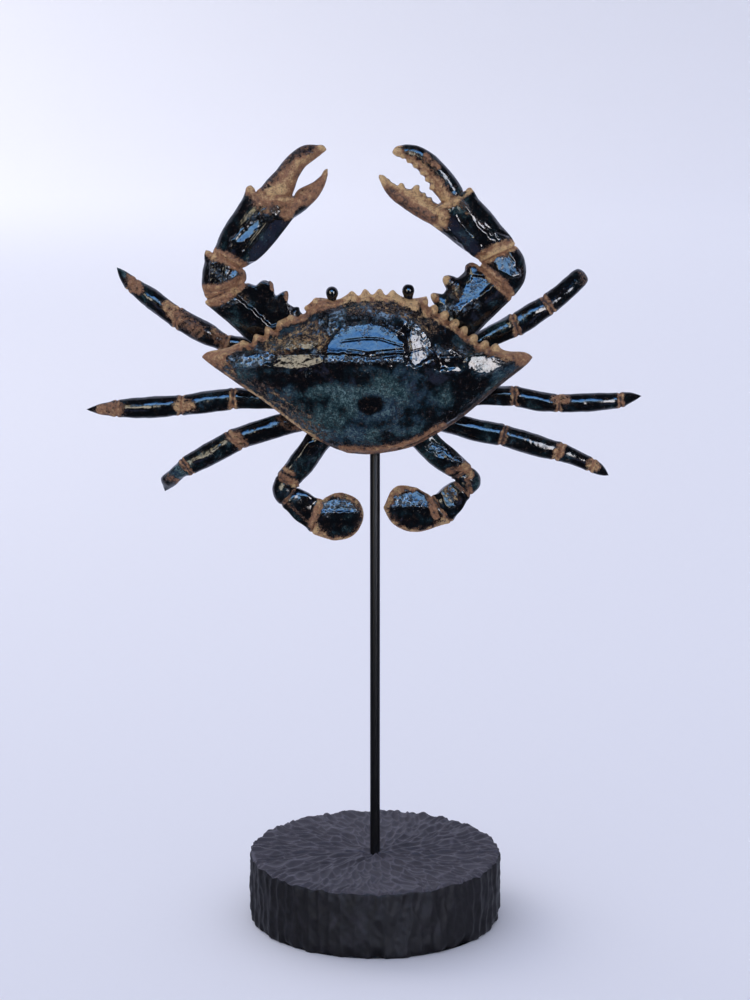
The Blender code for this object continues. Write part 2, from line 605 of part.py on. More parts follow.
def main():
    empty_the_scene()
    parts = new_collection("stoneware_crab")
    tools = new_collection("cutters")

    make_object("carapace", carapace(), "dark_glaze", parts)
    shell_clearance = make_tool("carapace_clearance", carapace(GAP), tools)
    body = make_object("underbody", underbody(), "dark_glaze", parts)
    socket = make_tool("underbody_clearance", underbody(GAP), tools)
    combine(body, make_tool("rod_socket", rod(ROD_RADIUS + GAP, 290.0, ROD_TOP + GAP), tools),
            "DIFFERENCE")

    for name, (x, ball_z, foot_z) in EYES.items():
        obj = make_object(name, eye(x, ball_z, foot_z), "eye_glaze", parts)
        combine(obj, shell_clearance, "DIFFERENCE")
    apron = make_object("abdomen", loft(rings_of(ABDOMEN, 1, False, False), LIMB_SIDES,
                                        ABDOMEN_TIP), "dark_glaze", parts)
    combine(apron, socket, "DIFFERENCE")
    for name, stations in MOUTHPARTS.items():
        plate = make_object(name, loft(rings_of(stations, 1, False, False), LIMB_SIDES),
                            "dark_glaze", parts)
        combine(plate, socket, "DIFFERENCE")

    for name, claw in CLAWS.items():
        build_claw(name, claw, parts, tools, socket)
    for name, leg in LEGS.items():
        build_leg(name, leg, parts, socket)

    make_object("stand_rod", rod(ROD_RADIUS, ROD_FOOT, ROD_TOP), "blackened_steel", parts)
    stand = make_object("stand_base", base(), "stained_wood", parts)
    hole = rod(ROD_RADIUS + GAP, ROD_FOOT - GAP, BASE_HEIGHT + 10.0)
    combine(stand, make_tool("rod_hole", hole, tools), "DIFFERENCE")


main()
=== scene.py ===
"""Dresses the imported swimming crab: glazed stoneware, a blackened steel rod and a gouge-carved base."""

import math
from functools import partial

import bmesh
import bpy
import numpy as np
from bpy.props import FloatProperty, FloatVectorProperty, IntProperty, PointerProperty
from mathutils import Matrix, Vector
from mathutils.bvhtree import BVHTree
from mathutils.kdtree import KDTree


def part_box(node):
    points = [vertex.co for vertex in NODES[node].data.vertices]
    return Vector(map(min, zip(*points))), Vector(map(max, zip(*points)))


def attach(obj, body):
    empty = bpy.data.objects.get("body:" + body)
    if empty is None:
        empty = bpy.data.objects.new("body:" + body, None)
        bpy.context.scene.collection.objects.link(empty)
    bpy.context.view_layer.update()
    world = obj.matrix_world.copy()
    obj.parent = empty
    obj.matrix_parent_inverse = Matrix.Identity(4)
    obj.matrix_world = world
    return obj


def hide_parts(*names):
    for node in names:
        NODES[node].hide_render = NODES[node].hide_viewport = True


bl_info = {
    "name": "Stoneware Crab",
    "version": (1, 0, 0),
    "blender": (4, 5, 0),
    "location": "View3D > Sidebar > Crab",
    "description": "Sculpts and glazes a swimming crab on its rod and carved base",
    "category": "Object",
}

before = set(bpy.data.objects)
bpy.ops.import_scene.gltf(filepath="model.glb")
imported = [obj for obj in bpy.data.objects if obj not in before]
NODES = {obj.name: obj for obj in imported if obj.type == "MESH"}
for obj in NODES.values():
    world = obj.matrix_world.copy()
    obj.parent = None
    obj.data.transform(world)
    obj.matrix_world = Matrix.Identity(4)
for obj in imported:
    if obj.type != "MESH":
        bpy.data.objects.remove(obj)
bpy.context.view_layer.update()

MM = 0.001

# Settings that many shader nodes share
SMOOTH = {"interpolation_type": "SMOOTHSTEP"}
TIMES = {"operation": "MULTIPLY"}
TIMES_PLUS = {"operation": "MULTIPLY_ADD"}
COLOURS = {"out": 2, "data_type": "RGBA"}


def linear(code):
    """A linear colour from an sRGB hex value."""
    shares = [int(code[i:i + 2], 16) / 255 for i in (1, 3, 5)]
    return tuple(s / 12.92 if s <= 0.04045 else ((s + 0.055) / 1.055) ** 2.4 for s in shares)


# Worked marks, by CAD node. Each row has its settings and then its points (x, z), which lie in the
# plane of the crab, in millimetres to the right of and above the middle of the node's box.

# Flat faces: lean to the right, lean backwards (as slopes), softness of the edge, outline
FACETS = {
    "carapace": (
        (0.0, 0.37, 2.4, (-26.3, 14.9), (-24.3, 20.9), (-19.3, 25.9), (-12.3, 31.9), (4.7, 32.9),
         (13.7, 29.4), (21.7, 20.9), (23.7, 14.9)),
        (-0.2, 0.08, 1.4, (-56.3, 5.9), (-42.3, 4.9), (-34.3, 6.9), (-26.3, 10.9), (-27.3, 15.4),
         (-54.3, 14.9)),
        (0.24, 0.2, 1.2, (24.7, 9.9), (28.7, 6.9), (35.7, 11.9), (39.2, 19.9), (34.7, 26.9), (28.7, 33.9),
         (25.2, 29.9)),
        (0.26, 0.12, 1.4, (58.7, 6.9), (63.7, 1.9), (70.7, 0.9), (78.7, 3.9), (83.7, 8.9), (74.7, 12.9),
         (66.7, 14.9), (60.7, 12.4)),
        (0.1, 0.0, 4.0, (41.7, 5.9), (56.7, 3.9), (58.7, 11.9), (50.7, 17.9), (41.7, 17.9)),
        (0.0, 0.28, 1.2, (-81.3, 4.4), (-67.3, 5.4), (-56.3, 8.4), (-53.3, 14.4), (-64.3, 13.9),
         (-77.3, 10.9)),
        (0.0, 0.3, 1.0, (-23.3, 9.4), (21.7, 9.4), (21.7, 14.9), (-23.3, 14.9)),
        (-0.21, 0.1, 1.6, (-53.3, 15.5), (-31.3, 16.3), (-26.3, 21.9), (-45.3, 22.9)),
    ),
    "left_claw_palm": (
        (-0.02, 0.33, 1.0, (-23.6, -16.5), (-17.1, -15.5), (-4.6, -2.5), (-7.6, 2), (-23.1, -10.5)),
        (0.3, -0.16, 1.4, (-14.6, -24.5), (-5.6, -26.5), (12.4, -6), (13.4, 0), (2.4, 1.5), (-1.6, -3),
         (-11.6, -16)),
    ),
    "left_claw_carpus": (
        (-0.05, 0.3, 1.2, (1.5, -3.8), (8.5, -1.8), (10.5, 5.2), (5.5, 4.2)),
        (0.02, 0.0, 1.5, (-8.5, -4.8), (-0.5, -4.8), (1.5, 7.2), (-7.5, 10.2)),
    ),
    "left_claw_merus": (
        (0.0, 0.04, 1.2, (-15.4, 17.7), (7.1, -2.8), (20.6, -0.3), (17.6, 15.7), (3.6, 23.7),
         (-10.4, 25.7)),
    ),
    "right_claw_merus": (
        (-0.02, 0.36, 2.2, (-10.5, 0.7), (-3.5, 11.2), (3.5, 20.2), (13.5, 18.7), (14.5, 15.2),
         (6.5, 7.7), (-1.5, 2.2), (-7.5, -4.8)),
    ),
    "right_claw_carpus": (
        (0.13, 0.33, 1.6, (-7.1, 5.7), (-4.1, 10.7), (1.9, 11.7), (6.9, 5.2), (9.9, -1.8), (4.9, -3.3),
         (-3.1, 1.2)),
    ),
    "right_claw_palm": (
        (-0.22, -0.12, 1.8, (-2.9, -1.6), (4.1, 6.4), (15.1, -7.6), (23.1, -19.6), (15.1, -23.6)),
        (0.26, 0.08, 1.4, (5.6, 10.4), (7.1, 11.9), (19.6, -0.1), (32.1, -12.1), (29.6, -13.6),
         (17.1, -2.1)),
    ),
    "left_swimming_leg_paddle": (
        (0.0, 0.32, 1.2, (-10.6, 2.8), (-8.6, 10.3), (0.4, 13.3), (9.4, 10.8), (12.9, 3.3)),
    ),
    "right_swimming_leg_paddle": (
        (0.0, 0.32, 1.2, (-17.7, 1.9), (-12.7, 10.4), (-1.7, 11.4), (7.3, 6.4), (7.3, 1.9)),
    ),
    "right_swimming_leg_merus": (
        (0.0, 0.36, 1.4, (-6.8, 4.9), (-3.8, 8.4), (7.2, 2.4), (16.7, -5.1), (13.2, -8.6), (3.2, -2.6)),
    ),
    "right_swimming_leg_propodus": (
        (-0.12, 0.28, 1.2, (-6.6, 7.4), (-1.6, 12.4), (4.4, 7.4), (1.4, -2.6), (-3.6, -2.6)),
    ),
}
# Ridges and, below 0, scribed lines: half width, height, line
RIDGES = {
    "carapace": (
        (3.0, 0.5, (-95.3, 9.4), (-67.3, 12.4), (-58.3, 13.9)),
        (3.0, 0.35, (-24.3, 15.8), (0.7, 14.9)),
        (0.9, -1.0, (-52.3, 14.5), (-43.3, 14.9), (-33.3, 15.7), (-27.3, 15.3)),
        (0.9, -0.35, (23.7, 18.9), (14.7, 21.4), (7.7, 23.5), (-1.3, 23.9), (-15.3, 22.2)),
        (1.1, -0.55, (23.7, 17.5), (10.7, 16.4), (0.7, 15.5), (-11.3, 16.9)),
        (0.7, -0.6, (23.7, 15.9), (12.7, 13.5), (2.7, 12.7), (-7.3, 13.3)),
        (0.7, -0.6, (20.7, 25.4), (12.7, 30.4), (9.7, 33.9)),
        (1.1, -1.0, (25.2, 33.9), (24, 23.9), (25.5, 15.9), (24.2, 8.9)),
        (0.6, -0.5, (26.2, 15.9), (32.7, 17.5), (38.2, 14.9)),
        (1.4, -0.6, (-25.3, 13.9), (-24.3, 19.9), (-28.3, 26.9)),
        (2.2, 0.35, (-75.3, -5.6), (-57.3, -18.1), (-40.3, -32.6), (-23.3, -42.6)),
        (2.4, 0.9, (-15.3, -45.1), (4.7, -45.6), (18.7, -43.1), (30.7, -39.1), (40.7, -32.6),
         (52.7, -25.1)),
        (0.9, -0.7, (18.7, -45.6), (30.7, -41.1), (40.7, -35.1)),
    ),
    "left_claw_palm": (
        (2.2, 0.7, (-22.6, -12.5), (-17.6, -6.8), (-12.6, -2), (-6.6, 3.5)),
        (1.3, -0.9, (-15.6, -17.5), (-9.1, -8.5), (-3.6, -1.5)),
        (2.0, 0.35, (-13.1, -16.5), (-5.6, -7), (-0.6, 0), (3.4, 3)),
        (1.4, 0.6, (-30.6, -18.5), (-17.6, -26)),
        (1.2, 0.5, (-33.1, -21), (-19.6, -28.5)),
        (1.5, 0.7, (-8.6, 18.5), (-3.6, 13.8), (2.4, 12.5), (7.4, 12)),
        (1.0, -0.4, (6.4, 11), (9.4, 3)),
    ),
    "left_claw_finger": (
        (1.1, -0.4, (-10.2, -8.8), (-3.2, 3.7), (6.8, 12.2)),
        (3.0, 0.6, (-0.2, -3.8), (3.8, 5.2), (13.8, 11.2)),
    ),
    "left_claw_carpus": (
        (1.2, 0.5, (-10.5, -7.3), (-1.5, -6.3), (6.5, -2.8)),
        (0.8, -0.5, (-10.5, -9.8), (-1.5, -9), (7.5, -5.8)),
    ),
    "left_claw_merus": ((1.6, 0.6, (-31.4, 11.2), (-22.4, 14.7), (-13.4, 20.2)),),
    "right_claw_palm": (
        (5.5, 0.8, (5.6, 11.4), (13.1, 3.4), (20.1, -3.6), (27.1, -11.1), (32.1, -13.6)),
        (1.4, -0.7, (3.1, 9.4), (7.6, -0.6), (15.1, -9.6)),
        (1.2, -0.7, (27.1, -6.6), (38.1, -10.6)),
        (1.5, 0.8, (14.1, 17.4), (7.6, 13.4), (3.1, 9.4), (-3.9, 7.4)),
        (1.3, 0.8, (40.6, -14.8), (27.1, -20.6), (19.1, -26.1)),
        (1.1, -0.5, (39.1, -11.6), (27.1, -17.1), (19.1, -21.6)),
        (2.2, 0.5, (-34.9, 17.4), (-22.9, 8.4), (-8.9, 0.4)),
    ),
    "right_claw_finger": (
        (4.5, 0.6, (-7.5, 15), (3.5, 7), (10.5, -0.5), (17.5, -9)),
        (1.2, -0.5, (-7.5, 9), (0.5, 0), (6.5, -8)),
    ),
    "right_claw_merus": (
        (0.9, -0.6, (-7, 16.2), (-9.3, 12.2), (-12, 8.7)),
        (1.0, 0.4, (-9, 16.7), (-11.1, 13.2)),
        (1.4, 0.7, (6.5, 27), (12.5, 22.2), (20, 16.7)),
    ),
    "right_claw_carpus": (
        (1.0, -0.6, (-13.1, 2.7), (-6.1, -2.3), (-0.6, -6.8)),
        (1.2, 0.5, (-15.1, 5.7), (-7.1, 11.7), (5.9, 15.7)),
    ),
    "left_swimming_leg_merus": ((3.4, 1.0, (-13.1, -7.3), (-5.6, 1.7), (0.4, 9.2)),),
    "left_swimming_leg_propodus": (
        (3.4, 1.0, (-4.7, 16.3), (1.8, 11.3), (9.3, 5.3)),
        (1.2, 0.6, (13.3, 7.3), (6.3, -8.2)),
    ),
    "left_swimming_leg_paddle": ((1.6, 0.5, (-11.6, 2.8), (2.4, 3.3), (13.4, 2.8)),),
    "right_swimming_leg_merus": ((3.0, 0.3, (-3.8, 4.9), (5.2, 0.4), (15.2, -6.6)),),
    "right_swimming_leg_propodus": ((0.9, -0.6, (-15.1, 5.4), (-9.6, -8.6)),),
    "right_swimming_leg_carpus": ((1.0, -0.6, (-3.4, 9.6), (1.1, -0.4), (2.1, -9.4)),),
    "right_swimming_leg_paddle": ((1.6, 0.5, (-19.7, 1.4), (-5.7, 1.7), (8.3, 1.4)),),
}
# Knobs pressed on and, below 0, dents: radius, height, centres
KNOBS = {
    "carapace": (
        (3.4, 1.3, (40.2, 38.3), (46.7, 34.9), (52.9, 29.9), (58, 25.7), (63.9, 21), (70.5, 17.2),
         (76.7, 15.2)),
        (2.6, -1.2, (41.6, 34.7), (48.1, 30.3), (53.9, 25.3), (59.7, 20.8), (66.2, 16.2), (72.9, 13.3)),
        (2.6, -1.1, (-69.2, 17.1), (-61.9, 21.1), (-54.9, 25.1), (-47.9, 28.7), (-41.3, 33.3),
         (-37.2, 35.9)),
        (2.4, -1.0, (-5.2, 44.3), (3.1, 44.8), (11.4, 44.5), (19.7, 41.9)),
        (3.0, 0.7, (41.7, 30.9), (47.2, 27.9), (52.7, 24.4), (35.7, 31.9), (34.7, 42.9)),
        (2.6, 1.0, (-74.3, 17.7), (-66.3, 21.1), (-59.5, 25.7), (-52.3, 29.5), (-45.7, 33.3),
         (-40.5, 37.5), (-36.5, 39.3), (-30.8, 42.9)),
        (2.8, 0.8, (-8.9, 46.9), (-1.1, 48.1), (7.5, 48.3), (15.1, 47.5), (24.7, 40.9)),
        (2.2, 0.8, (21.2, -43.1), (29.2, -38.6), (37.7, -33.6)),
    ),
    "left_claw_palm": (
        (3.2, 0.8, (-12.6, 18), (-3.6, 6)),
        (4.2, 1.0, (33.2, 28.2)),
    ),
    "left_claw_finger": ((4.2, 1.1, (18.8, 13.8)),),
    "right_claw_finger": (
        (4.2, 1.0, (-18.1, 14)),
        (2.0, 1.1, (-15, 10.2), (-11.5, 7.6), (-7.5, 4.6), (-3.5, 0.6), (-0.5, -3.5), (2, -8.5)),
        (1.4, -0.9, (-13.3, 9), (-9.3, 6.2), (-5.3, 2.8), (-1.7, -1.5), (0.9, -6)),
    ),
    "right_claw_palm": (
        (4.2, 1.1, (-38.1, 24.4)),
        (3.0, 0.6, (-17.9, 18.4), (-26.9, 19.4)),
        (2.0, 1.1, (-34.4, 23.2), (-30.4, 21.4), (-22.4, 18.9), (-17.9, 17.9), (-13.4, 14.4),
         (-9.9, 11.4)),
    ),
    "left_claw_merus": ((3.0, 0.7, (-29.4, 11.2), (-22.9, 11.2)),),
    "right_claw_merus": ((3.0, 0.6, (-13.5, 17.2), (-20.5, 7.7), (-2.5, 25.2)),),
    "left_leg_1_propodus": ((11.0, 1.0, (-0.3, 5.5)),),
    "left_leg_1_merus": ((11.0, 0.8, (-25.5, 14.8)),),
}
# Clay left bare or, below 0, glazed again: half width, bareness, paleness of the clay, line
COATS = {
    "carapace": (
        (6.0, 1.0, 0.45, (-98.3, 8.9), (-88.3, 7.9)),
        (2.6, 0.75, 0.6, (80.7, 10.9), (96.7, 9.4)),
        (5.0, 1.0, 0.5, (91.7, 7.9), (97.7, 8.9)),
        (2.6, 0.9, 1.0, (-9.3, 45.9), (14.7, 46.4), (28.7, 40.9)),
        (3.4, 1.0, 0.6, (33.7, 44.9), (35.7, 36.9)),
        (3.8, 1.0, 0.7, (41.7, 34.9), (53.7, 28.4), (59.7, 22.9), (67.7, 18.4), (78.7, 13.9)),
        (3.0, 0.9, 0.55, (-37.3, 36.4), (-28.3, 40.9), (-19.3, 42.9)),
        (11.0, 0.34, 0.8, (-67.3, -10.1), (-55.3, -16.1), (-33.3, -33.1)),
        (5.0, 0.5, 0.7, (-83.3, 5.9), (-81.3, -0.1)),
        (4.5, 0.9, 0.25, (-15.3, -46.1), (4.7, -46.6), (20.7, -44.1), (34.7, -38.6), (44.7, -32.1)),
        (6.5, 0.46, 1.0, (-57.3, 16.9), (-45.3, 19.9), (-33.3, 27.9), (-27.3, 21.9)),
        (5.0, 0.36, 1.0, (-11.3, 40.9), (12.7, 41.4), (28.7, 35.9), (38.7, 27.9)),
    ),
    "left_claw_palm": (
        (8.5, 1.0, 0.55, (5.4, 15), (16.4, 12), (24.4, 15), (34.4, 28)),
        (5.5, 1.0, 0.5, (10.4, 4), (16.4, 9)),
        (5.5, 0.52, 0.6, (-4.6, 8), (3.4, 7)),
        (2.6, 1.0, 1.0, (-9.6, 18), (-3.6, 13.8), (3.4, 12.5)),
        (3.6, 0.9, 0.4, (-13.1, 18.5), (-11.1, 15.5)),
        (4.6, 1.0, 0.45, (-34.6, -20), (-23.6, -23.5), (-16.6, -28.5)),
        (2.2, -1.0, 0.5, (16.4, 3), (19.9, 6)),
    ),
    "left_claw_finger": (
        (16.0, 1.0, 0.55, (-14.2, -9.8), (3.8, 4.2), (17.8, 13.2)),
        (5.5, -0.42, 0.15, (-15.2, -6.8), (-9.2, 3.2), (-0.2, 11.2), (11.8, 15.2)),
        (4.0, 0.3, 0.95, (-12.2, -10.8), (-5.2, -9.8)),
        (2.0, 0.3, 0.9, (17.8, 14.2), (20.8, 13.2)),
    ),
    "left_claw_carpus": (
        (4.2, 1.0, 0.5, (-11.5, -8.8), (-1.5, -8.3), (6.5, -4.8), (13.5, -1.8)),
        (2.6, 0.9, 0.45, (13, 5.2), (13.5, -3.8)),
        (3.0, 1.0, 0.7, (-10, 14.2), (-6.5, 11.7)),
    ),
    "left_claw_merus": (
        (3.2, 1.0, 0.45, (-32.4, 10.7), (-25.4, 11.7), (-16.4, 16.7), (-10.4, 21.7)),
        (1.6, 0.3, 0.9, (-14.4, 18.7), (-6.4, 12.2)),
        (2.2, 0.9, 0.5, (8.1, 23.2), (9.1, 19.7)),
        (2.4, 0.9, 0.6, (17.4, 17.2), (17.6, 13.7)),
    ),
    "right_claw_palm": (
        (11.0, 1.0, 0.9, (-39.9, 26.4), (-32.9, 18.4), (-22.9, 13.4), (-9.9, 5.4), (-6.9, 0.4)),
        (3.2, 0.2, 0.15, (-34.9, 16.4), (-22.9, 7.9), (-8.9, -0.1)),
        (2.4, 1.0, 1.0, (14.1, 17.4), (7.6, 13.4), (3.1, 9.4), (-5.9, 7.4)),
        (4.2, 1.0, 0.5, (41.1, -14.1), (30.1, -17.1), (23.1, -21.1), (17.1, -25.6)),
        (2.6, 0.45, 0.4, (7.1, 10.4), (12.1, 4.4)),
    ),
    "right_claw_finger": (
        (12.0, 1.0, 0.8, (-19.5, 12), (-11.5, 12), (0.5, 0), (6.5, -11)),
        (6.0, -0.82, 0.35, (-10.5, 16), (0.5, 10.5), (9.5, 2), (17.5, -9)),
        (2.2, 0.8, 0.3, (-1.5, 10), (5.5, 4)),
    ),
    "right_claw_carpus": (
        (3.0, 1.0, 0.7, (-15.1, 5.7), (-6.1, 11.7), (6.9, 15.7)),
        (3.6, 1.0, 0.4, (-14.1, 4.2), (-7.1, -1.8), (-0.1, -6.8), (2.9, -12.8)),
    ),
    "right_claw_merus": (
        (3.0, 1.0, 0.5, (5.5, 27.2), (12.5, 21.7), (19.5, 16.2), (25.5, 8.2)),
        (3.2, 1.0, 1.0, (-13.5, 18.2), (-14.5, 16.2)),
        (3.2, 0.9, 0.8, (-21.5, 8.2), (-19.5, 6.2)),
        (3.4, 0.8, 0.4, (-3.5, 25.2), (-0.5, 27.2)),
        (3.6, 0.36, 1.0, (-9.5, 14.2), (-5.5, 8.2)),
    ),
    "left_swimming_leg_merus": ((2.0, 0.75, 0.5, (-9.6, -9.3), (-15.6, -5.3)),),
    "left_swimming_leg_carpus": ((3.0, 0.8, 0.45, (-4.3, 10.4), (5.7, 5.4)),),
    "left_swimming_leg_propodus": (
        (1.1, 0.5, 0.3, (-9.2, 6.8), (-0.2, -2.2), (5.8, -8.2)),
        (2.4, 1.0, 0.4, (11.8, 7.8), (5.8, -8.2)),
    ),
    "right_swimming_leg_merus": ((2.2, 0.85, 0.4, (6.2, -11.1), (18.2, -7.1)),),
    "right_swimming_leg_carpus": (
        (2.6, 0.85, 0.7, (-1.9, 10.6), (2.1, 4.6)),
        (1.8, 0.8, 0.4, (0.1, 2.6), (3.1, -9.4)),
    ),
    "right_swimming_leg_propodus": (
        (2.4, 1.0, 0.4, (-14.6, 6.4), (-9.6, -8.6)),
        (3.0, 0.5, 1.0, (-6.6, 13.4), (-2.6, 9.4)),
        (2.4, 0.42, 1.0, (-5.6, 10.4), (-0.6, 6.4), (3.4, 3.4)),
    ),
    "left_leg_1_dactyl": ((4.5, 0.9, 0.45, (3.7, 1.2), (7.2, -5.3)),),
    "left_leg_1_propodus": ((4.5, 0.9, 0.8, (8.7, -0.5), (13.7, -6.5)),),
    "left_leg_1_carpus": (
        (6.0, 0.7, 0.35, (-11.8, 7.6), (-1.8, -0.4)),
        (4.0, 0.7, 0.4, (8.2, -1.4), (13.2, -8.4)),
    ),
    "left_leg_2_dactyl": ((6.0, 0.9, 0.5, (1.2, -0.2), (10.2, -0.2)),),
    "left_leg_2_carpus": ((5.0, 0.8, 0.75, (-16.9, -2), (-10.9, -2)),),
    "left_leg_3_merus": (
        (5.0, 0.6, 0.3, (3.3, 6.6), (11.3, 2.6)),
        (4.0, 0.8, 0.5, (-24.7, -3.4), (-20.7, -8.4)),
    ),
    "left_leg_3_dactyl": ((2.6, 0.7, 0.4, (-4.5, -0.2), (0.5, -3.2)),),
    "right_leg_1_dactyl": ((4.0, 0.5, 0.4, (11.4, 10.2), (12.4, 5.2)),),
    "right_leg_2_carpus": ((4.0, 0.7, 0.6, (11.7, 0.5), (17.7, 0.5)),),
    "right_leg_3_propodus": ((3.5, 0.7, 0.6, (-9.2, 7.2), (-12.2, 0.2)),),
    "right_leg_3_dactyl": ((4.0, 0.7, 0.7, (-5.9, 3.3), (-1.9, 1.3)),),
}
# Glaze pitted by burst bubbles: half width, share, line
BUBBLES = {
    "carapace": (
        (6.0, 1.0, (-33.3, 26.9), (-25.3, 33.9), (-15.3, 36.9), (-11.3, 32.9), (-1.3, 38.9), (12.7, 36.9),
         (16.7, 39.9), (26.7, 34.9), (31.7, 29.9)),
        (5.5, 1.0, (-85.3, 6.9), (-75.3, 10.4), (-67.3, 8.4), (-55.3, 12.9)),
        (5.0, 0.7, (-65.3, 15.9), (-53.3, 17.9), (-40.3, 24.9), (-29.3, 28.9)),
        (4.5, 1.0, (-31.3, 15.9), (-26.3, 19.9), (-28.3, 25.9), (-20.3, 30.9)),
        (3.4, 1.0, (-23.3, 11.7), (4.7, 11.4), (19.7, 11.9)),
        (4.5, 0.7, (24.7, 32.9), (33.7, 25.9), (36.7, 15.9), (42.7, 15.9), (58.7, 14.9)),
        (4.5, 0.5, (-21.3, 25.9), (-9.3, 30.9), (4.7, 31.4), (16.7, 26.9)),
        (4.0, 1.0, (78.7, 9.9), (90.7, 8.9)),
        (7.0, 0.6, (-45.3, -27.1), (-25.3, -35.1)),
        (6.0, 0.4, (-3.3, -41.1), (9.7, -38.1), (19.7, -16.1)),
    ),
    "right_claw_merus": (
        (6.0, 1.0, (-13.5, 0.2), (-3.5, 0.2), (4.5, 3.2)),
        (6.0, 0.5, (-8.5, 8.2), (2.5, 13.2), (12.5, 18.2)),
    ),
    "left_claw_carpus": ((5.0, 0.6, (-6.5, 6.2), (-1.5, -1.8), (8.5, 1.2)),),
    "left_claw_palm": ((5.0, 0.7, (-9.6, 1), (-1.6, 4), (0.4, 9)),),
    "left_claw_merus": ((4.5, 0.8, (-22.4, 9.7), (-14.4, 12.7)),),
    "right_swimming_leg_paddle": ((6.0, 0.9, (-15.7, 2.9), (-7.7, 6.9), (2.3, 1.9)),),
    "left_swimming_leg_paddle": ((5.0, 0.9, (-7.6, 3.8), (0.4, 10.8), (10.4, 5.8)),),
    "right_swimming_leg_propodus": ((4.0, 0.9, (-4.6, 10.4), (1.4, 3.4)),),
    "right_swimming_leg_merus": ((3.5, 0.6, (-4.8, 4.9), (6.2, -0.1), (15.2, -6.1)),),
}
# Clouded glaze or, below 0, clearer and darker: half width, share, line
CLOUDS = {
    "left_leg_3_dactyl": ((7.0, 0.9, (-1.5, -0.2), (5.5, 7.8)),),
    "left_leg_1_dactyl": ((6.0, 1.2, (-3.3, 9.7), (1.7, 3.7)),),
    "carapace": (
        (11.0, -0.5, (-61.3, -0.1), (-45.3, -1.1), (-31.3, -1.1)),
        (7.0, -0.4, (-28.3, 1.9), (-0.3, 1.4)),
        (8.0, -0.35, (-40.3, -17.1), (-28.3, -18.1)),
        (7.0, -0.5, (9.7, -37.1), (24.7, -41.1), (36.7, -38.1)),
        (7.0, -0.5, (30.7, 15.9), (42.7, 9.9)),
        (7.0, 0.4, (-15.3, -10.1), (9.7, -10.1), (10.7, -19.1)),
        (8.0, 0.35, (8.7, -4.1), (20.7, -9.1)),
        (5.0, 0.3, (-32.3, -7.1), (-7.3, -8.1)),
        (8.0, 0.35, (-40.3, -29.1), (-27.3, -37.1)),
        (8.0, 0.3, (-21.3, -34.1), (0.7, -35.1)),
        (5.0, 0.25, (18.7, -33.1), (27.7, -32.1)),
        (12.0, -0.4, (38.7, -0.1), (64.7, -6.1), (54.7, -20.1), (40.7, -28.1)),
        (5.0, 0.5, (-83.3, 5.9), (-65.3, 9.9)),
        (6.0, 0.2, (-55.3, 19.9), (-31.3, 27.9), (-15.3, 35.9)),
        (12.0, -0.35, (-23.3, 13.9), (4.7, 25.9), (20.7, 21.9)),
    ),
}

# Settings

def length(name, about, millimetres):
    """A length that the user may change."""
    return FloatProperty(name=name, description=about, default=millimetres * MM, unit="LENGTH")


def tint(name, about, code):
    """A colour that the user may change."""
    return FloatVectorProperty(name=name, description=about, subtype="COLOR", default=linear(code))


class CrabForm(bpy.types.PropertyGroup):
    """Sizes of the modelled clay."""

    skin: length("Skin", "Size of the faces of the sculpted skin", 0.62)
    lumps: length("Lumps", "Height of the hand-modelled unevenness", 0.2)
    groove: length("Joint groove", "Depth of the line at each joint", 0.45)
    collar: length("Joint collar", "Height of the lip beside each joint", 0.25)
    band: length("Joint band", "Reach of the bare clay from each joint", 2.9)
    margin: length("Margin", "Reach of the bare clay from the teeth", 4.4)


class CrabGlaze(bpy.types.PropertyGroup):
    """Colours of the stoneware glaze and of the clay that it breaks to."""

    black: tint("Pooled glaze", "Where the glaze lies thickest", "#06080c")
    teal: tint("Teal glaze", "Where the glaze runs thin", "#0c272d")
    blue: tint("Blue glaze", "Crystals that cloud the glaze", "#182c42")
    # painted glints: the pale colour between the bubble pits
    painted_glint: tint("Foam", "Pale lips between burst bubbles", "#86a3ba")
    frost: tint("Frost", "Pale specks in the glaze", "#6d8a88")
    clay: tint("Clay", "Bare fired clay", "#9c6c49")
    # the toasted clay colour is also a painted highlight on raised clay
    toasted_and_lit: tint("Toasted clay", "Paler clay on the raised edges", "#deb880")
    # the iron clay colour is also painted shade in the hollows
    iron_and_shade: tint("Iron clay", "Dark clay in the hollows", "#35241c")
    eye: tint("Eye glaze", "Black glaze of the eyes", "#08080a")


class CarvedStand(bpy.types.PropertyGroup):
    """The rod and the carved base."""

    gouge_length: length("Gouge length", "Length of a cut on the top", 17)
    gouge_width: length("Gouge width", "Width of a cut on the top", 5.4)
    gouge_depth: length("Gouge depth", "Depth of a cut", 2.7)
    facets: IntProperty(name="Side cuts", description="Upright cuts round the side", default=62)
    steps: IntProperty(name="Steps round", description="Faces round the base", default=640)
    stain: tint("Stain", "Black wood stain", "#17161a")
    # the worn stain is also painted light: the top and the ridges of the base take it
    worn: tint("Worn stain", "Stain rubbed on the ridges", "#5b5861")
    steel: tint("Steel", "Blackened steel", "#0b0b0d")
    drawn: tint("Drawing lines", "Faint lines along the steel", "#101012")


class StudioStage(bpy.types.PropertyGroup):
    """Floor, light and camera."""

    floor: tint("Floor", "Paper of the floor and walls", "#e5e6eb")
    sky: tint("Sky", "Tint of the even light", "#e2e6fa")
    radius: length("Room", "Distance of the paper wall", 7000)
    distance: length("Distance", "Camera to the rod, along the floor", 1500)
    height: length("Height", "Camera above the floor", 573)
    lens: FloatProperty(name="Lens", description="Focal length in millimetres", default=90.43)
    tilt: FloatProperty(name="Tilt", description="How far the camera looks down",
                        default=math.radians(11.57), subtype="ANGLE")


# Shapes

def rows_of(items, field):
    """One field of points, as rows of three numbers."""
    flat = np.empty(len(items) * 3, np.float32)
    items.foreach_get(field, flat)
    return flat.reshape(-1, 3).astype(float)


def place_points(mesh, points):
    """Moves the mesh's points to places in millimetres."""
    mesh.vertices.foreach_set("co", (points * MM).astype(np.float32).ravel())
    mesh.update()


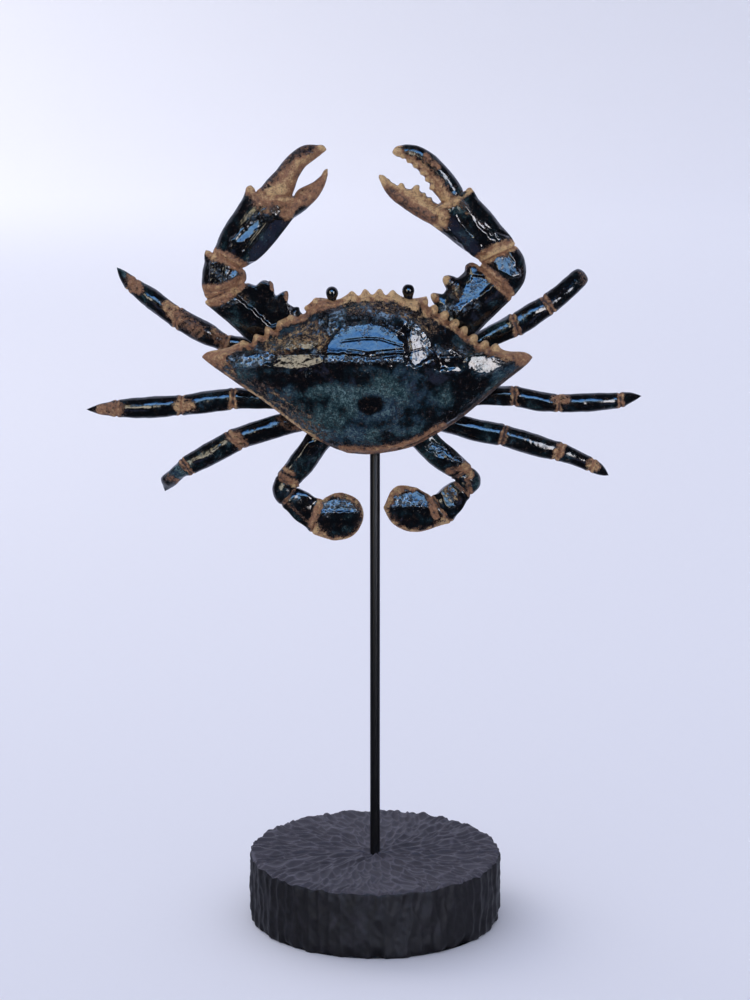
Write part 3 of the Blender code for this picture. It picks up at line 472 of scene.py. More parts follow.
def store(mesh, **values):
    """Keeps numbers from 0 to 1 per point as attributes that the material reads."""
    for name, value in values.items():
        attribute = mesh.attributes.new(name, "FLOAT", "POINT")
        whole = np.broadcast_to(np.clip(value, 0.0, 1.0), (len(mesh.vertices),))
        attribute.data.foreach_set("value", whole.astype(np.float32))


def box_of(node):
    """The two corners of a CAD node's box, in millimetres."""
    return (np.array(corner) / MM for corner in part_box(node))


def tree_of(node):
    """A CAD node's faces, sorted for searching."""
    bm = bmesh.new()
    bm.from_mesh(NODES[node].data)
    tree = BVHTree.FromBMesh(bm)
    bm.free()
    return tree


def piece_from(bm, name):
    """Turns a bmesh into an object of the scene."""
    mesh = bpy.data.meshes.new(name)
    bm.to_mesh(mesh)
    bm.free()
    obj = bpy.data.objects.new(name, mesh)
    bpy.context.scene.collection.objects.link(obj)
    return obj


def lumps(points, size, seed):
    """Smooth hills and hollows, about -1 to 1, whose spacing is size millimetres."""
    count = 24
    draw = np.random.default_rng(seed)
    waves = draw.normal(size=(count, 3))
    waves *= math.tau / size / np.linalg.norm(waves, axis=1)[:, None]
    waves *= draw.uniform(0.6, 1.4, count)[:, None]
    return np.sin(points @ waves.T + draw.uniform(0, math.tau, count)).sum(1) / 7.5


def ease(value, start, end):
    """0 before start, 1 after end, smooth between."""
    share = np.clip((value - start) / (end - start), 0.0, 1.0)
    return share * share * (3 - 2 * share)


def bell(value, width):
    """1 at 0, falling away over width on both sides."""
    return np.exp(-(value / width) ** 2)


def reach(flat, line):
    """Distance of each point (x, z) from a broken line."""
    best = np.full(len(flat), 1e9)
    for start, end in zip(line[:-1], line[1:]):
        a = np.array(start)
        run = np.array(end) - a
        share = np.clip((flat - a) @ run / max(run @ run, 1e-9), 0.0, 1.0)
        best = np.minimum(best, np.linalg.norm(flat - a - share[:, None] * run, axis=1))
    return best


def depth_inside(flat, outline):
    """How far each point (x, z) lies inside a closed outline, negative outside."""
    closed = list(outline) + [outline[0]]
    inside = np.zeros(len(flat), bool)
    for (ax, az), (bx, bz) in zip(closed[:-1], closed[1:]):
        spans = (az > flat[:, 1]) != (bz > flat[:, 1])
        crossing = (bx - ax) * (flat[:, 1] - az) / ((bz - az) or 1e-9) + ax
        inside ^= spans & (flat[:, 0] < crossing)
    gap = reach(flat, closed)
    return np.where(inside, gap, -gap)


class Skin:
    """One closed skin over merged copies of CAD nodes, worked as clay and then glazed."""

    def __init__(self, name, nodes, voxel, grow=0.45, rounding=1, smoothing=3):
        self.nodes = nodes
        bm = bmesh.new()
        for node in nodes:
            bm.from_mesh(NODES[node].data)
        bmesh.ops.remove_doubles(bm, verts=bm.verts, dist=1e-6)
        bmesh.ops.join_triangles(bm, faces=bm.faces, angle_face_threshold=math.radians(50),
                                 angle_shape_threshold=math.radians(60))
        self.crease(bm)
        self.obj = obj = piece_from(bm, name)
        coarse = obj.data
        rounded = obj.modifiers.new("rounded", "SUBSURF")
        rounded.levels = rounded.render_levels = rounding
        swollen = obj.modifiers.new("swollen", "DISPLACE")
        swollen.strength = grow * MM
        swollen.mid_level = 0.0
        remesh = obj.modifiers.new("skin", "REMESH")
        remesh.mode = "VOXEL"
        remesh.voxel_size = voxel
        smooth = obj.modifiers.new("smooth", "SMOOTH")
        smooth.iterations = smoothing
        smooth.factor = 0.5
        self.mesh = bpy.data.meshes.new_from_object(
            obj.evaluated_get(bpy.context.evaluated_depsgraph_get()))
        obj.modifiers.clear()
        obj.data = self.mesh
        bpy.data.meshes.remove(coarse)
        self.mesh.name = name
        self.mesh.shade_smooth()
        self.normals = rows_of(self.mesh.vertex_normals, "vector")
        self.points = rows_of(self.mesh.vertices, "co") / MM - 0.5 * grow * self.normals
        self.flat = self.points[:, [0, 2]].copy()
        self.front = ease(-self.normals[:, 1], 0.05, 0.4)
        self.height, self.bare, self.pitted, self.cloud = np.zeros((4, len(self.points)))
        self.tone = np.full(len(self.points), 0.5)
        self.calm = np.ones(len(self.points))

    def crease(self, bm):
        """Keeps the sharp edges and corners of the nodes sharp where the skin is rounded."""
        edge_crease = bm.edges.layers.float.new("crease_edge")
        vert_crease = bm.verts.layers.float.new("crease_vert")
        for edge in bm.edges:
            edge[edge_crease] = float(ease(math.degrees(edge.calc_face_angle(0.0)), 48, 72))
        for vert in bm.verts:
            open_angle = math.tau - sum(loop.calc_angle() for loop in vert.link_loops)
            vert[vert_crease] = float(ease(abs(open_angle), 0.9, 1.5))

    def near(self, line, half_width):
        """1 on the line, 0 from half_width away."""
        return ease(-reach(self.flat, line), -half_width, 0.0)

    def joints(self):
        """Distance of each point from the second nearest node, and which node is nearest."""
        table = []
        for node in self.nodes:
            tree = tree_of(node)
            table.append([tree.find_nearest(p)[3] / MM for p in (self.points * MM).tolist()])
        table = np.array(table)
        return np.sort(table, 0)[1], table.argmin(0)

    def marks(self, table, count):
        """The rows of a table for this skin's nodes: count settings, then points in the frame."""
        for node, rows in table.items():
            if node in self.nodes:
                low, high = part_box(node)
                middle = (low + high) / 2 / MM
                for row in rows:
                    yield *row[:count], [(middle.x + x, middle.z + z) for x, z in row[count:]]

    def work(self):
        """Flattens, raises, scribes and coats the skin as the tables of marks say."""
        for right, back, soft, outline in self.marks(FACETS, 3):
            self.flatten(right, back, soft, outline)
        for half_width, rise, line in self.marks(RIDGES, 2):
            share = np.clip(1 - reach(self.flat, line) / half_width, 0, 1)
            self.height += rise * (0.7 * share + 0.3 * ease(share, 0, 1)) * self.front
        for radius, rise, centres in self.marks(KNOBS, 2):
            for centre in centres:
                self.height += rise * self.near([centre, centre], radius)
        for half_width, bareness, paleness, line in self.marks(COATS, 3):
            # full to 0.45 of the half width and gone 1.2 mm beyond it
            gap = reach(self.flat, line)
            share = ease(-gap, -half_width - 1.2, -half_width * 0.45) * self.front
            if bareness > 0:
                self.bare = np.maximum(self.bare, share * bareness)
            else:
                self.bare *= 1 + share * bareness
            self.tone += share * (paleness - self.tone)
        for table, field in ((BUBBLES, self.pitted), (CLOUDS, self.cloud)):
            for half_width, share, line in self.marks(table, 2):
                field += share * self.front * self.near(line, half_width)

    def flatten(self, right, back, soft, outline):
        """Presses one flat face into the skin, with a wavering edge, and keeps it calm."""
        firmness, unsteadiness = 0.93, 0.8
        waver = np.stack([lumps(self.points, 4.5, seed) for seed in (60, 61)], 1)
        depth = depth_inside(self.flat + unsteadiness * waver, outline)
        share = ease(depth, -soft * 0.5, soft * 0.5) * self.front ** 0.4
        middle = self.points[share > 0.9].mean(0)
        plane = (middle[1] + right * (self.flat[:, 0] - middle[0])
                 + back * (self.flat[:, 1] - middle[2]))
        self.points[:, 1] += firmness * share * (plane - self.points[:, 1])
        self.calm *= 1 - 0.7 * ease(depth, -2.0, 1.0)

    def finish(self, material, cloud=0.3):
        """Moves the points, keeps them in the nodes' box, and hands the piece over."""
        points = self.points + self.normals * self.height[:, None]
        corners = np.array([[list(c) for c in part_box(node)] for node in self.nodes]) / MM
        place_points(self.mesh, np.clip(points, corners[:, 0].min(0), corners[:, 1].max(0)))
        # painted light and shade: raised clay is painted paler and hollows are painted darker
        tone = self.tone + 0.4 * np.clip(self.height, -1.3, 1.2)
        store(self.mesh, bare=self.bare, tone=tone, pitted=self.pitted, cloud=cloud + self.cloud)
        hand_over(self.obj, material, self.nodes)


def hand_over(obj, material, nodes):
    """Gives a piece its material and its body, and hides the CAD nodes that it stands for."""
    obj.data.materials.clear()
    obj.data.materials.append(material)
    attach(obj, "root")
    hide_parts(*nodes)


# Materials

def plug(tree, sockets, values):
    """Links each socket to another node's output, or sets its value. A colour becomes opaque."""
    for key, value in values.items():
        if isinstance(value, bpy.types.NodeSocket):
            tree.links.new(value, sockets[key])
        else:
            opaque = sockets[key].type == "RGBA"
            sockets[key].default_value = (*value, 1.0) if opaque else value


def add_node(tree, kind, inputs=None, out=0, **settings):
    """Adds a shader node and returns one of its outputs. inputs maps a socket's name or number to
    a value or to another node's output."""
    node = tree.nodes.new("ShaderNode" + kind)
    for key, value in settings.items():
        setattr(node, key, value)
    plug(tree, node.inputs, inputs or {})
    return node.outputs[out] if node.outputs else None


def new_material(name):
    """A material, its node maker and what sets its surface."""
    material = bpy.data.materials.new(name)
    material.use_nodes = True
    tree = material.node_tree
    shader = tree.nodes["Principled BSDF"]
    return material, partial(add_node, tree), partial(plug, tree, shader.inputs)


def reduction_stoneware(colours):
    """Iron-rich stoneware under a thick copper and cobalt glaze. The glaze is a glossy dark glass,
    almost black where it pools, clouded with teal and blue crystals and pitted where gas escaped.
    On edges and joints it breaks to the dry brown clay."""
    material, node, surface = new_material("reduction_stoneware")
    place = node("TexCoord", out=3)
    bare, tone, pitted, cloud = (node("Attribute", out=2, attribute_name=name)
                                 for name in ("bare", "tone", "pitted", "cloud"))
    # spacing in millimetres, detail, roughness, distortion
    runs, clouds, crystals, specks, patches, ragged, grit, ripple = (
        node("TexNoise", {"Vector": place, "Scale": 1 / (spacing * MM), "Detail": detail,
                          "Roughness": roughness, "Distortion": distortion})
        for spacing, detail, roughness, distortion in (
            (24, 3, 0.5, 0.0), (8, 5, 0.62, 0.3), (2.2, 3, 0.7, 0.0), (0.9, 2, 0.7, 0.0),
            (3, 5, 0.8, 0.0), (2.6, 4, 0.7, 0.0), (0.7, 3, 0.75, 0.0), (5, 2, 0.5, 0.0)))

    # glaze: black to teal over the runs and clouds, then blue, then frosted with crystals
    local = node("Math", {0: runs, 1: 0.5, 2: clouds}, **TIMES_PLUS)
    local = node("Math", {0: cloud, 1: 0.5, 2: local}, **TIMES_PLUS)
    glaze = node("Mix", {0: node("MapRange", {0: local, 1: 0.82, 2: 1.15}, **SMOOTH),
                         6: colours.black, 7: colours.teal}, **COLOURS)
    blue = node("Math", {0: node("MapRange", {0: runs, 1: 0.6, 2: 0.42}, **SMOOTH),
                         1: node("MapRange", {0: local, 1: 0.9, 2: 1.2}, **SMOOTH)}, **TIMES)
    glaze = node("Mix", {0: blue, 6: glaze, 7: colours.blue}, **COLOURS)
    frost = node("MapRange", {0: local, 1: 0.92, 2: 1.3, 4: 0.9}, **SMOOTH)
    for noise, low, high, least in ((crystals, 0.4, 0.62, 0.3), (specks, 0.42, 0.6, 0.2)):
        share = node("MapRange", {0: noise, 1: low, 2: high, 3: least}, **SMOOTH)
        frost = node("Math", {0: frost, 1: share}, **TIMES)
    glaze = node("Mix", {0: frost, 6: glaze, 7: colours.frost}, **COLOURS)

    # burst bubbles 2.7 mm apart and, between them, 1.7 mm apart: the pits are painted black as painted
    # shade, and the glaze between them is painted pale as painted glints
    pit, painted_glint, domes = 0.0, 1.0, 0.0
    for gap, size in ((2.7, 0.42), (1.7, 0.3)):
        bubbles = node("TexVoronoi", {"Vector": place, "Scale": 1 / (gap * MM)})
        domes = node("Math", {0: bubbles, 1: 0.16 * gap, 2: domes}, **TIMES_PLUS)
        inside = node("MapRange", {0: bubbles, 1: size, 2: size - 0.1}, **SMOOTH)
        pit = node("Math", {0: inside, 1: pit}, operation="MAXIMUM")
        between = node("MapRange", {0: bubbles, 1: size, 2: size + 0.12}, **SMOOTH)
        painted_glint = node("Math", {0: between, 1: painted_glint}, **TIMES)
    pit = node("Math", {0: pit, 1: pitted}, **TIMES)
    for field, low, high, most in ((pitted, 0.35, 0.95, 1.0), (clouds, 0.44, 0.6, 0.9)):
        share = node("MapRange", {0: field, 1: low, 2: high, 4: most}, **SMOOTH)
        painted_glint = node("Math", {0: painted_glint, 1: share}, **TIMES)
    # painted glints between the pits, then painted shade in the pits
    glaze = node("Mix", {0: painted_glint, 6: glaze, 7: colours.painted_glint}, **COLOURS)
    glaze = node("Mix", {0: pit, 6: glaze, 7: colours.black}, **COLOURS)

    # clay: iron-dark to toasted by tone, which carries painted shade in the hollows and a painted
    # highlight on raised clay, uneven over 3 mm, specked with 0.7 mm grit
    uneven = node("Math", {0: node("MapRange", {0: patches, 1: 0.3, 2: 0.7, 3: -0.55, 4: 0.5}),
                           1: tone}, operation="ADD")
    clay = colours.iron_and_shade
    for field, low, high, most, colour in ((uneven, 0.0, 0.45, 1.0, colours.clay),
                                           (uneven, 0.5, 1.1, 1.0, colours.toasted_and_lit),
                                           (grit, 0.53, 0.66, 0.7, colours.iron_and_shade)):
        share = node("MapRange", {0: field, 1: low, 2: high, 4: most}, **SMOOTH)
        clay = node("Mix", {0: share, 6: clay, 7: colour}, **COLOURS)

    # the edge between them is ragged over 2.6 mm and speckled, and rusty where the glaze thins
    edge = bare
    for noise, strength in ((ragged, 0.9), (grit, 0.7)):
        swing = node("MapRange", {0: noise, 1: 0.3, 2: 0.7, 3: -0.5, 4: 0.5})
        edge = node("Math", {0: swing, 1: strength, 2: edge}, **TIMES_PLUS)
    rust = node("MapRange", {0: edge, 1: 0.12, 2: 0.45, 4: 0.8}, **SMOOTH)
    glaze = node("Mix", {0: rust, 6: glaze, 7: colours.iron_and_shade}, **COLOURS)
    shows = node("MapRange", {0: edge, 1: 0.4, 2: 0.72}, **SMOOTH)
    gloss = node("MapRange", {0: clouds, 1: 0.35, 2: 0.7, 3: 0.08, 4: 0.2}, **SMOOTH)
    gloss = node("Mix", {0: pit, 2: gloss, 3: 0.7})

    # relief in millimetres: a slow ripple, pits, foam, and the grit of the clay
    relief = node("Math", {0: ripple, 1: 0.3}, **TIMES)
    rough = node("Math", {0: grit, 1: 0.4, 2: node("Math", {0: ragged, 1: 0.65}, **TIMES)},
                 **TIMES_PLUS)
    for layer, share in ((pit, -0.3), (domes, pitted), (rough, shows)):
        relief = node("Math", {0: layer, 1: share, 2: relief}, **TIMES_PLUS)
    surface({"Base Color": node("Mix", {0: shows, 6: glaze, 7: clay}, **COLOURS),
             "Roughness": node("Mix", {0: shows, 2: gloss, 3: 0.6}),
             "IOR": 1.55,
             "Normal": node("Bump", {"Height": relief, "Strength": 1.0, "Distance": MM})})
    return material


def black_bead_glaze(colours):
    """A bead of plain black glaze: smooth, glossy and even, with a faint bloom 1.4 mm across."""
    material, node, surface = new_material("black_bead_glaze")
    bloom = node("TexNoise", {"Vector": node("TexCoord", out=3), "Scale": 700.0, "Detail": 3.0})
    surface({"Base Color": node("Mix", {0: bloom, 6: colours.eye, 7: colours.black}, **COLOURS),
             "Roughness": node("MapRange", {0: bloom, 3: 0.04, 4: 0.12}),
             "IOR": 1.6})
    return material


def stained_limewood(stand):
    """Limewood cut with a gouge and stained black: dull, with the top painted paler than the side as
    painted light from above, and the ridges paler still, partly where hands and dust have rubbed them and
    partly as a painted highlight, with faint upright grain 1.1 mm apart and dust in 9 mm patches."""
    material, node, surface = new_material("stained_limewood")
    place = node("TexCoord", out=3)
    ridge = node("Attribute", out=2, attribute_name="ridge")
    along = node("Mapping", {"Vector": place, "Scale": (1.0, 1.0, 0.12)})
    grain = node("TexNoise", {"Vector": along, "Scale": 900.0, "Detail": 3.0, "Roughness": 0.6})
    dust = node("TexNoise", {"Vector": place, "Scale": 110.0, "Detail": 5.0, "Roughness": 0.65})
    share = node("Math", {0: node("MapRange", {0: dust, 3: -0.5, 4: 0.5}), 1: 0.5, 2: ridge},
                 **TIMES_PLUS)
    surface({"Base Color": node("Mix", {0: node("MapRange", {0: share}), 6: stand.stain,
                                        7: stand.worn}, **COLOURS),
             "Roughness": node("MapRange", {0: dust, 3: 0.48, 4: 0.72}),
             "IOR": 1.36,
             "Normal": node("Bump", {"Height": grain, "Strength": 0.7, "Distance": 0.15 * MM})})
    return material


def blackened_steel(stand):
    """Cold-drawn steel bar with a black oxide finish: satin, with drawing lines 0.4 mm apart."""
    material, node, surface = new_material("blackened_steel")
    along = node("Mapping", {"Vector": node("TexCoord", out=3), "Scale": (1.0, 1.0, 0.03)})
    lines = node("TexNoise", {"Vector": along, "Scale": 2500.0, "Detail": 2.0})
    surface({"Base Color": node("Mix", {0: lines, 6: stand.steel, 7: stand.drawn}, **COLOURS),
             "Roughness": node("MapRange", {0: lines, 3: 0.34, 4: 0.5}),
             "IOR": 1.33})
    return material


def glaze_material():
    """The crab's glaze, made once."""
    made = bpy.data.materials.get("reduction_stoneware")
    return made or reduction_stoneware(bpy.context.scene.crab_glaze)


# Pieces

class CRAB_OT_carapace(bpy.types.Operator):
    """Sculpt the carapace: crest, scribed lines, pitted front and folded rear lip"""

    bl_idname = "crab.carapace"
    bl_label = "Carapace"

    def execute(self, context):
        form = context.scene.crab_form
        skin = Skin("carapace_shell", ["carapace"], form.skin)
        low, high = box_of("carapace")
        front, margin = skin.front, form.margin / MM
        edge = self.inwards(skin, high[1])
        dx, dz = (skin.flat - ((low + high) / 2)[[0, 2]]).T
        crest_height, crest_drop, half_span = 13.0, 3.0, 95.0
        crest = crest_height - crest_drop * np.abs(dx) / half_span
        rear = ease(crest - dz, 2.0, 8.0)

        # bare clay: the toothed front edge, the rear lip, a worn band at the left, the hidden side
        fore = (1 - rear) * ease(-edge, -margin, -0.4 * margin)
        aft = rear * np.maximum(0.85 * ease(-edge, -3.6, -1.4),
                                0.25 * ease(-edge, -14.0, -4.0) * ease(-dx, -10.0, 40.0))
        behind = 0.5 * ease(skin.normals[:, 1], -0.2, 0.3)
        skin.bare = np.maximum.reduce([fore, aft * front, behind])
        skin.tone = 0.42 + 0.36 * ease(-edge, -3.5, 0.0) * (1 - rear) - 0.5 * rear
        skin.work()

        # hand-modelled unevenness: broad on the rear half, finer on the crest and at the edge
        calm = front * skin.calm
        skin.height += (0.35 * lumps(skin.points, 21.0, 1) * ease(edge, 4.0, 14.0) * rear
                        + 0.1 * lumps(skin.points, 8.0, 2)) * calm
        on_crest = bell(dz - crest, 4.0) * ease(edge, 2.0, 10.0) * calm
        skin.height += on_crest * (0.4 * lumps(skin.points, 5.5, 6)
                                   + 0.2 * lumps(skin.points, 3.0, 8))
        rough = ease(-edge, -6.0, -2.0) * front
        skin.height += rough * (0.28 * lumps(skin.points, 4.2, 3) * (1 - rear)
                                + 0.12 * lumps(skin.points, 5.0, 4))

        # the bowl pressed into the middle of the rear half, with darker glaze and clay inside it
        across, tall, deep = 11.0, 7.6, 1.7
        bowl = np.clip(1 - ((dx - 2.6) / across) ** 2 - ((dz + 15.2) / tall) ** 2, 0, 1)
        skin.height -= deep * bowl ** 0.8 * front
        skin.tone -= 0.3 * bowl
        skin.bare = np.maximum(skin.bare, 0.06 * ease(bowl, 0.2, 0.6))
        skin.pitted += 0.3 * ease(lumps(skin.points, 9.0, 5), 0.2, 1.0) * front
        skin.finish(glaze_material(),
                    cloud=0.35 + 0.3 * rear - 0.8 * ease(bowl, 0.0, 0.9))
        return {"FINISHED"}

    def inwards(self, skin, back):
        """Distance of each point from the carapace's outline, which is its wall near the back."""
        depth = skin.points[:, 1]
        wall = skin.flat[(depth > back - 3.2) & (depth < back - 0.8)]
        tree = KDTree(len(wall))
        for index, (x, z) in enumerate(wall.tolist()):
            tree.insert((x, z, 0.0), index)
        tree.balance()
        return np.array([tree.find((x, z, 0.0))[2] for x, z in skin.flat.tolist()])


class CRAB_OT_underside(bpy.types.Operator):
    """Sculpt the underbody with its sternum plates, apron and mouthparts"""

    bl_idname = "crab.underside"
    bl_label = "Underside"

    def execute(self, context):
        form = context.scene.crab_form
        nodes = ["underbody", "abdomen", "mouthpart_left", "mouthpart_right"]
        skin = Skin("underside", nodes, form.skin * 1.2)
        near, _ = skin.joints()
        low, high = box_of("underbody")
        dx, dz = (skin.flat - ((low + high) / 2)[[0, 2]]).T
        back = ease(skin.normals[:, 1], 0.0, 0.5)
        plate = 10.0
        across = np.abs(dx) * 0.28 + dz
        seams = bell(np.mod(across + plate / 2, plate) - plate / 2, 0.9)
        seams *= ease(np.abs(dx), 6.0, 12.0) * ease(22.0 - np.abs(dz), 0.0, 5.0)
        skin.height += 0.2 * lumps(skin.points, 12.0, 11) + 0.06 * lumps(skin.points, 4.0, 12)
        skin.height -= 0.9 * seams * back + 0.5 * bell(near, 0.8)
        skin.bare = 0.6 * seams * back + 0.75 * bell(near, 1.8)
        skin.finish(glaze_material())
        return {"FINISHED"}


class LimbMaker:
    """Shared by the operators that make limbs."""

    def limb(self, form, prefix, seed, band=1.0, owner_work=None):
        """Sculpts the nodes of one limb, with bare clay and a groove at each joint."""
        nodes = sorted(node for node in NODES if node.startswith(prefix))
        skin = Skin(prefix, nodes, form.skin * 0.85, rounding=2)
        near, owner = skin.joints()
        wander = np.clip(1 + 0.5 * lumps(skin.points, 7.0, seed + 2), 0.35, 2)
        band *= form.band / MM
        skin.bare = ease(-near / wander, -1.5 * band, -0.3 * band)
        skin.tone = (0.1 + 0.45 * bell(near - 1.9, 1.3) - 0.15 * bell(near, 0.6)
                     + 0.3 * lumps(skin.points, 3.5, seed + 2))
        if owner_work:
            owner_work(skin, owner)
        skin.work()
        skin.height += skin.calm * form.lumps / MM * (
            lumps(skin.points, 11.0, seed) + 0.25 * lumps(skin.points, 4.0, seed + 1))
        skin.height -= form.groove / MM * bell(near, 0.7)
        skin.height += form.collar / MM * bell(near - 2.2, 1.5)
        skin.finish(glaze_material(), cloud=0.25)


class CRAB_OT_claws(LimbMaker, bpy.types.Operator):
    """Sculpt both claws"""

    bl_idname = "crab.claws"
    bl_label = "Claws"

    def execute(self, context):
        for seed, side in ((30, "left_claw"), (40, "right_claw")):
            self.limb(context.scene.crab_form, side, seed)
        return {"FINISHED"}


class CRAB_OT_walking_legs(LimbMaker, bpy.types.Operator):
    """Sculpt the six walking legs"""

    bl_idname = "crab.walking_legs"
    bl_label = "Walking legs"

    def execute(self, context):
        prefixes = [f"{side}_leg_{i}" for side in ("left", "right") for i in (1, 2, 3)]
        for number, prefix in enumerate(prefixes):
            self.limb(context.scene.crab_form, prefix, 50 + 5 * number, band=0.9)
        return {"FINISHED"}


class CRAB_OT_swimming_legs(LimbMaker, bpy.types.Operator):
    """Sculpt the two swimming legs with their rimmed paddles"""

    bl_idname = "crab.swimming_legs"
    bl_label = "Swimming legs"

    def execute(self, context):
        for seed, prefix in ((90, "left_swimming_leg"), (95, "right_swimming_leg")):
            self.limb(context.scene.crab_form, prefix, seed, band=0.5,
                      owner_work=partial(self.rim, prefix + "_paddle", seed + 3))
        return {"FINISHED"}

    def rim(self, paddle, seed, skin, owner):
        """Leaves the paddle's edge bare and raises a rim inside it."""
        low, high = box_of(paddle)
        blade = owner == skin.nodes.index(paddle)
        middle = ((low + high) / 2)[[0, 2]]
        out = np.linalg.norm((skin.flat - middle) / ((high - low) / 2)[[0, 2]], axis=1)
        uneven = out + 0.06 * lumps(skin.points, 5.0, seed)
        edge = np.maximum(ease(uneven, 0.62, 1.0),
                          0.9 * ease(-np.abs(skin.normals[:, 1]), -0.8, -0.4))
        skin.bare = np.maximum(skin.bare, edge * blade)
        skin.tone += 0.6 * edge * blade
        skin.height += 0.5 * blade * ease(-np.abs(out - 0.86), -0.12, 0.0)


class CRAB_OT_eyes(bpy.types.Operator):
    """Round the eyes on their stalks"""

    bl_idname = "crab.eyes"
    bl_label = "Eyes"

    def execute(self, context):
        material = black_bead_glaze(context.scene.crab_glaze)
        for node in ("eye_left", "eye_right"):
            skin = Skin(node + "_bead", [node], 0.4 * MM, grow=0.3, rounding=2)
            skin.height += 0.12 * lumps(skin.points, 5.0, 7)
            skin.finish(material)
        return {"FINISHED"}


class CRAB_OT_rod(bpy.types.Operator):
    """Turn the steel rod"""

    bl_idname = "crab.rod"
    bl_label = "Rod"

    def execute(self, context):
        low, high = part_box("stand_rod")
        radius = (high.x - low.x) / 2
        bm = bmesh.new()
        bmesh.ops.create_cone(bm, cap_ends=True, segments=48, radius1=radius, radius2=radius,
                              depth=high.z - low.z)
        bmesh.ops.translate(bm, vec=(low + high) / 2, verts=bm.verts)
        rims = [e for e in bm.edges if abs(e.verts[0].co.z - e.verts[1].co.z) < 1e-6]
        bmesh.ops.bevel(bm, geom=rims, offset=0.4 * MM, offset_type="OFFSET", segments=2,
                        profile=0.5, affect="EDGES", material=-1)
        obj = piece_from(bm, "rod")
        obj.data.shade_smooth()
        obj.data.set_sharp_from_angle(angle=math.radians(40))
        hand_over(obj, blackened_steel(context.scene.crab_stand), ["stand_rod"])
        return {"FINISHED"}


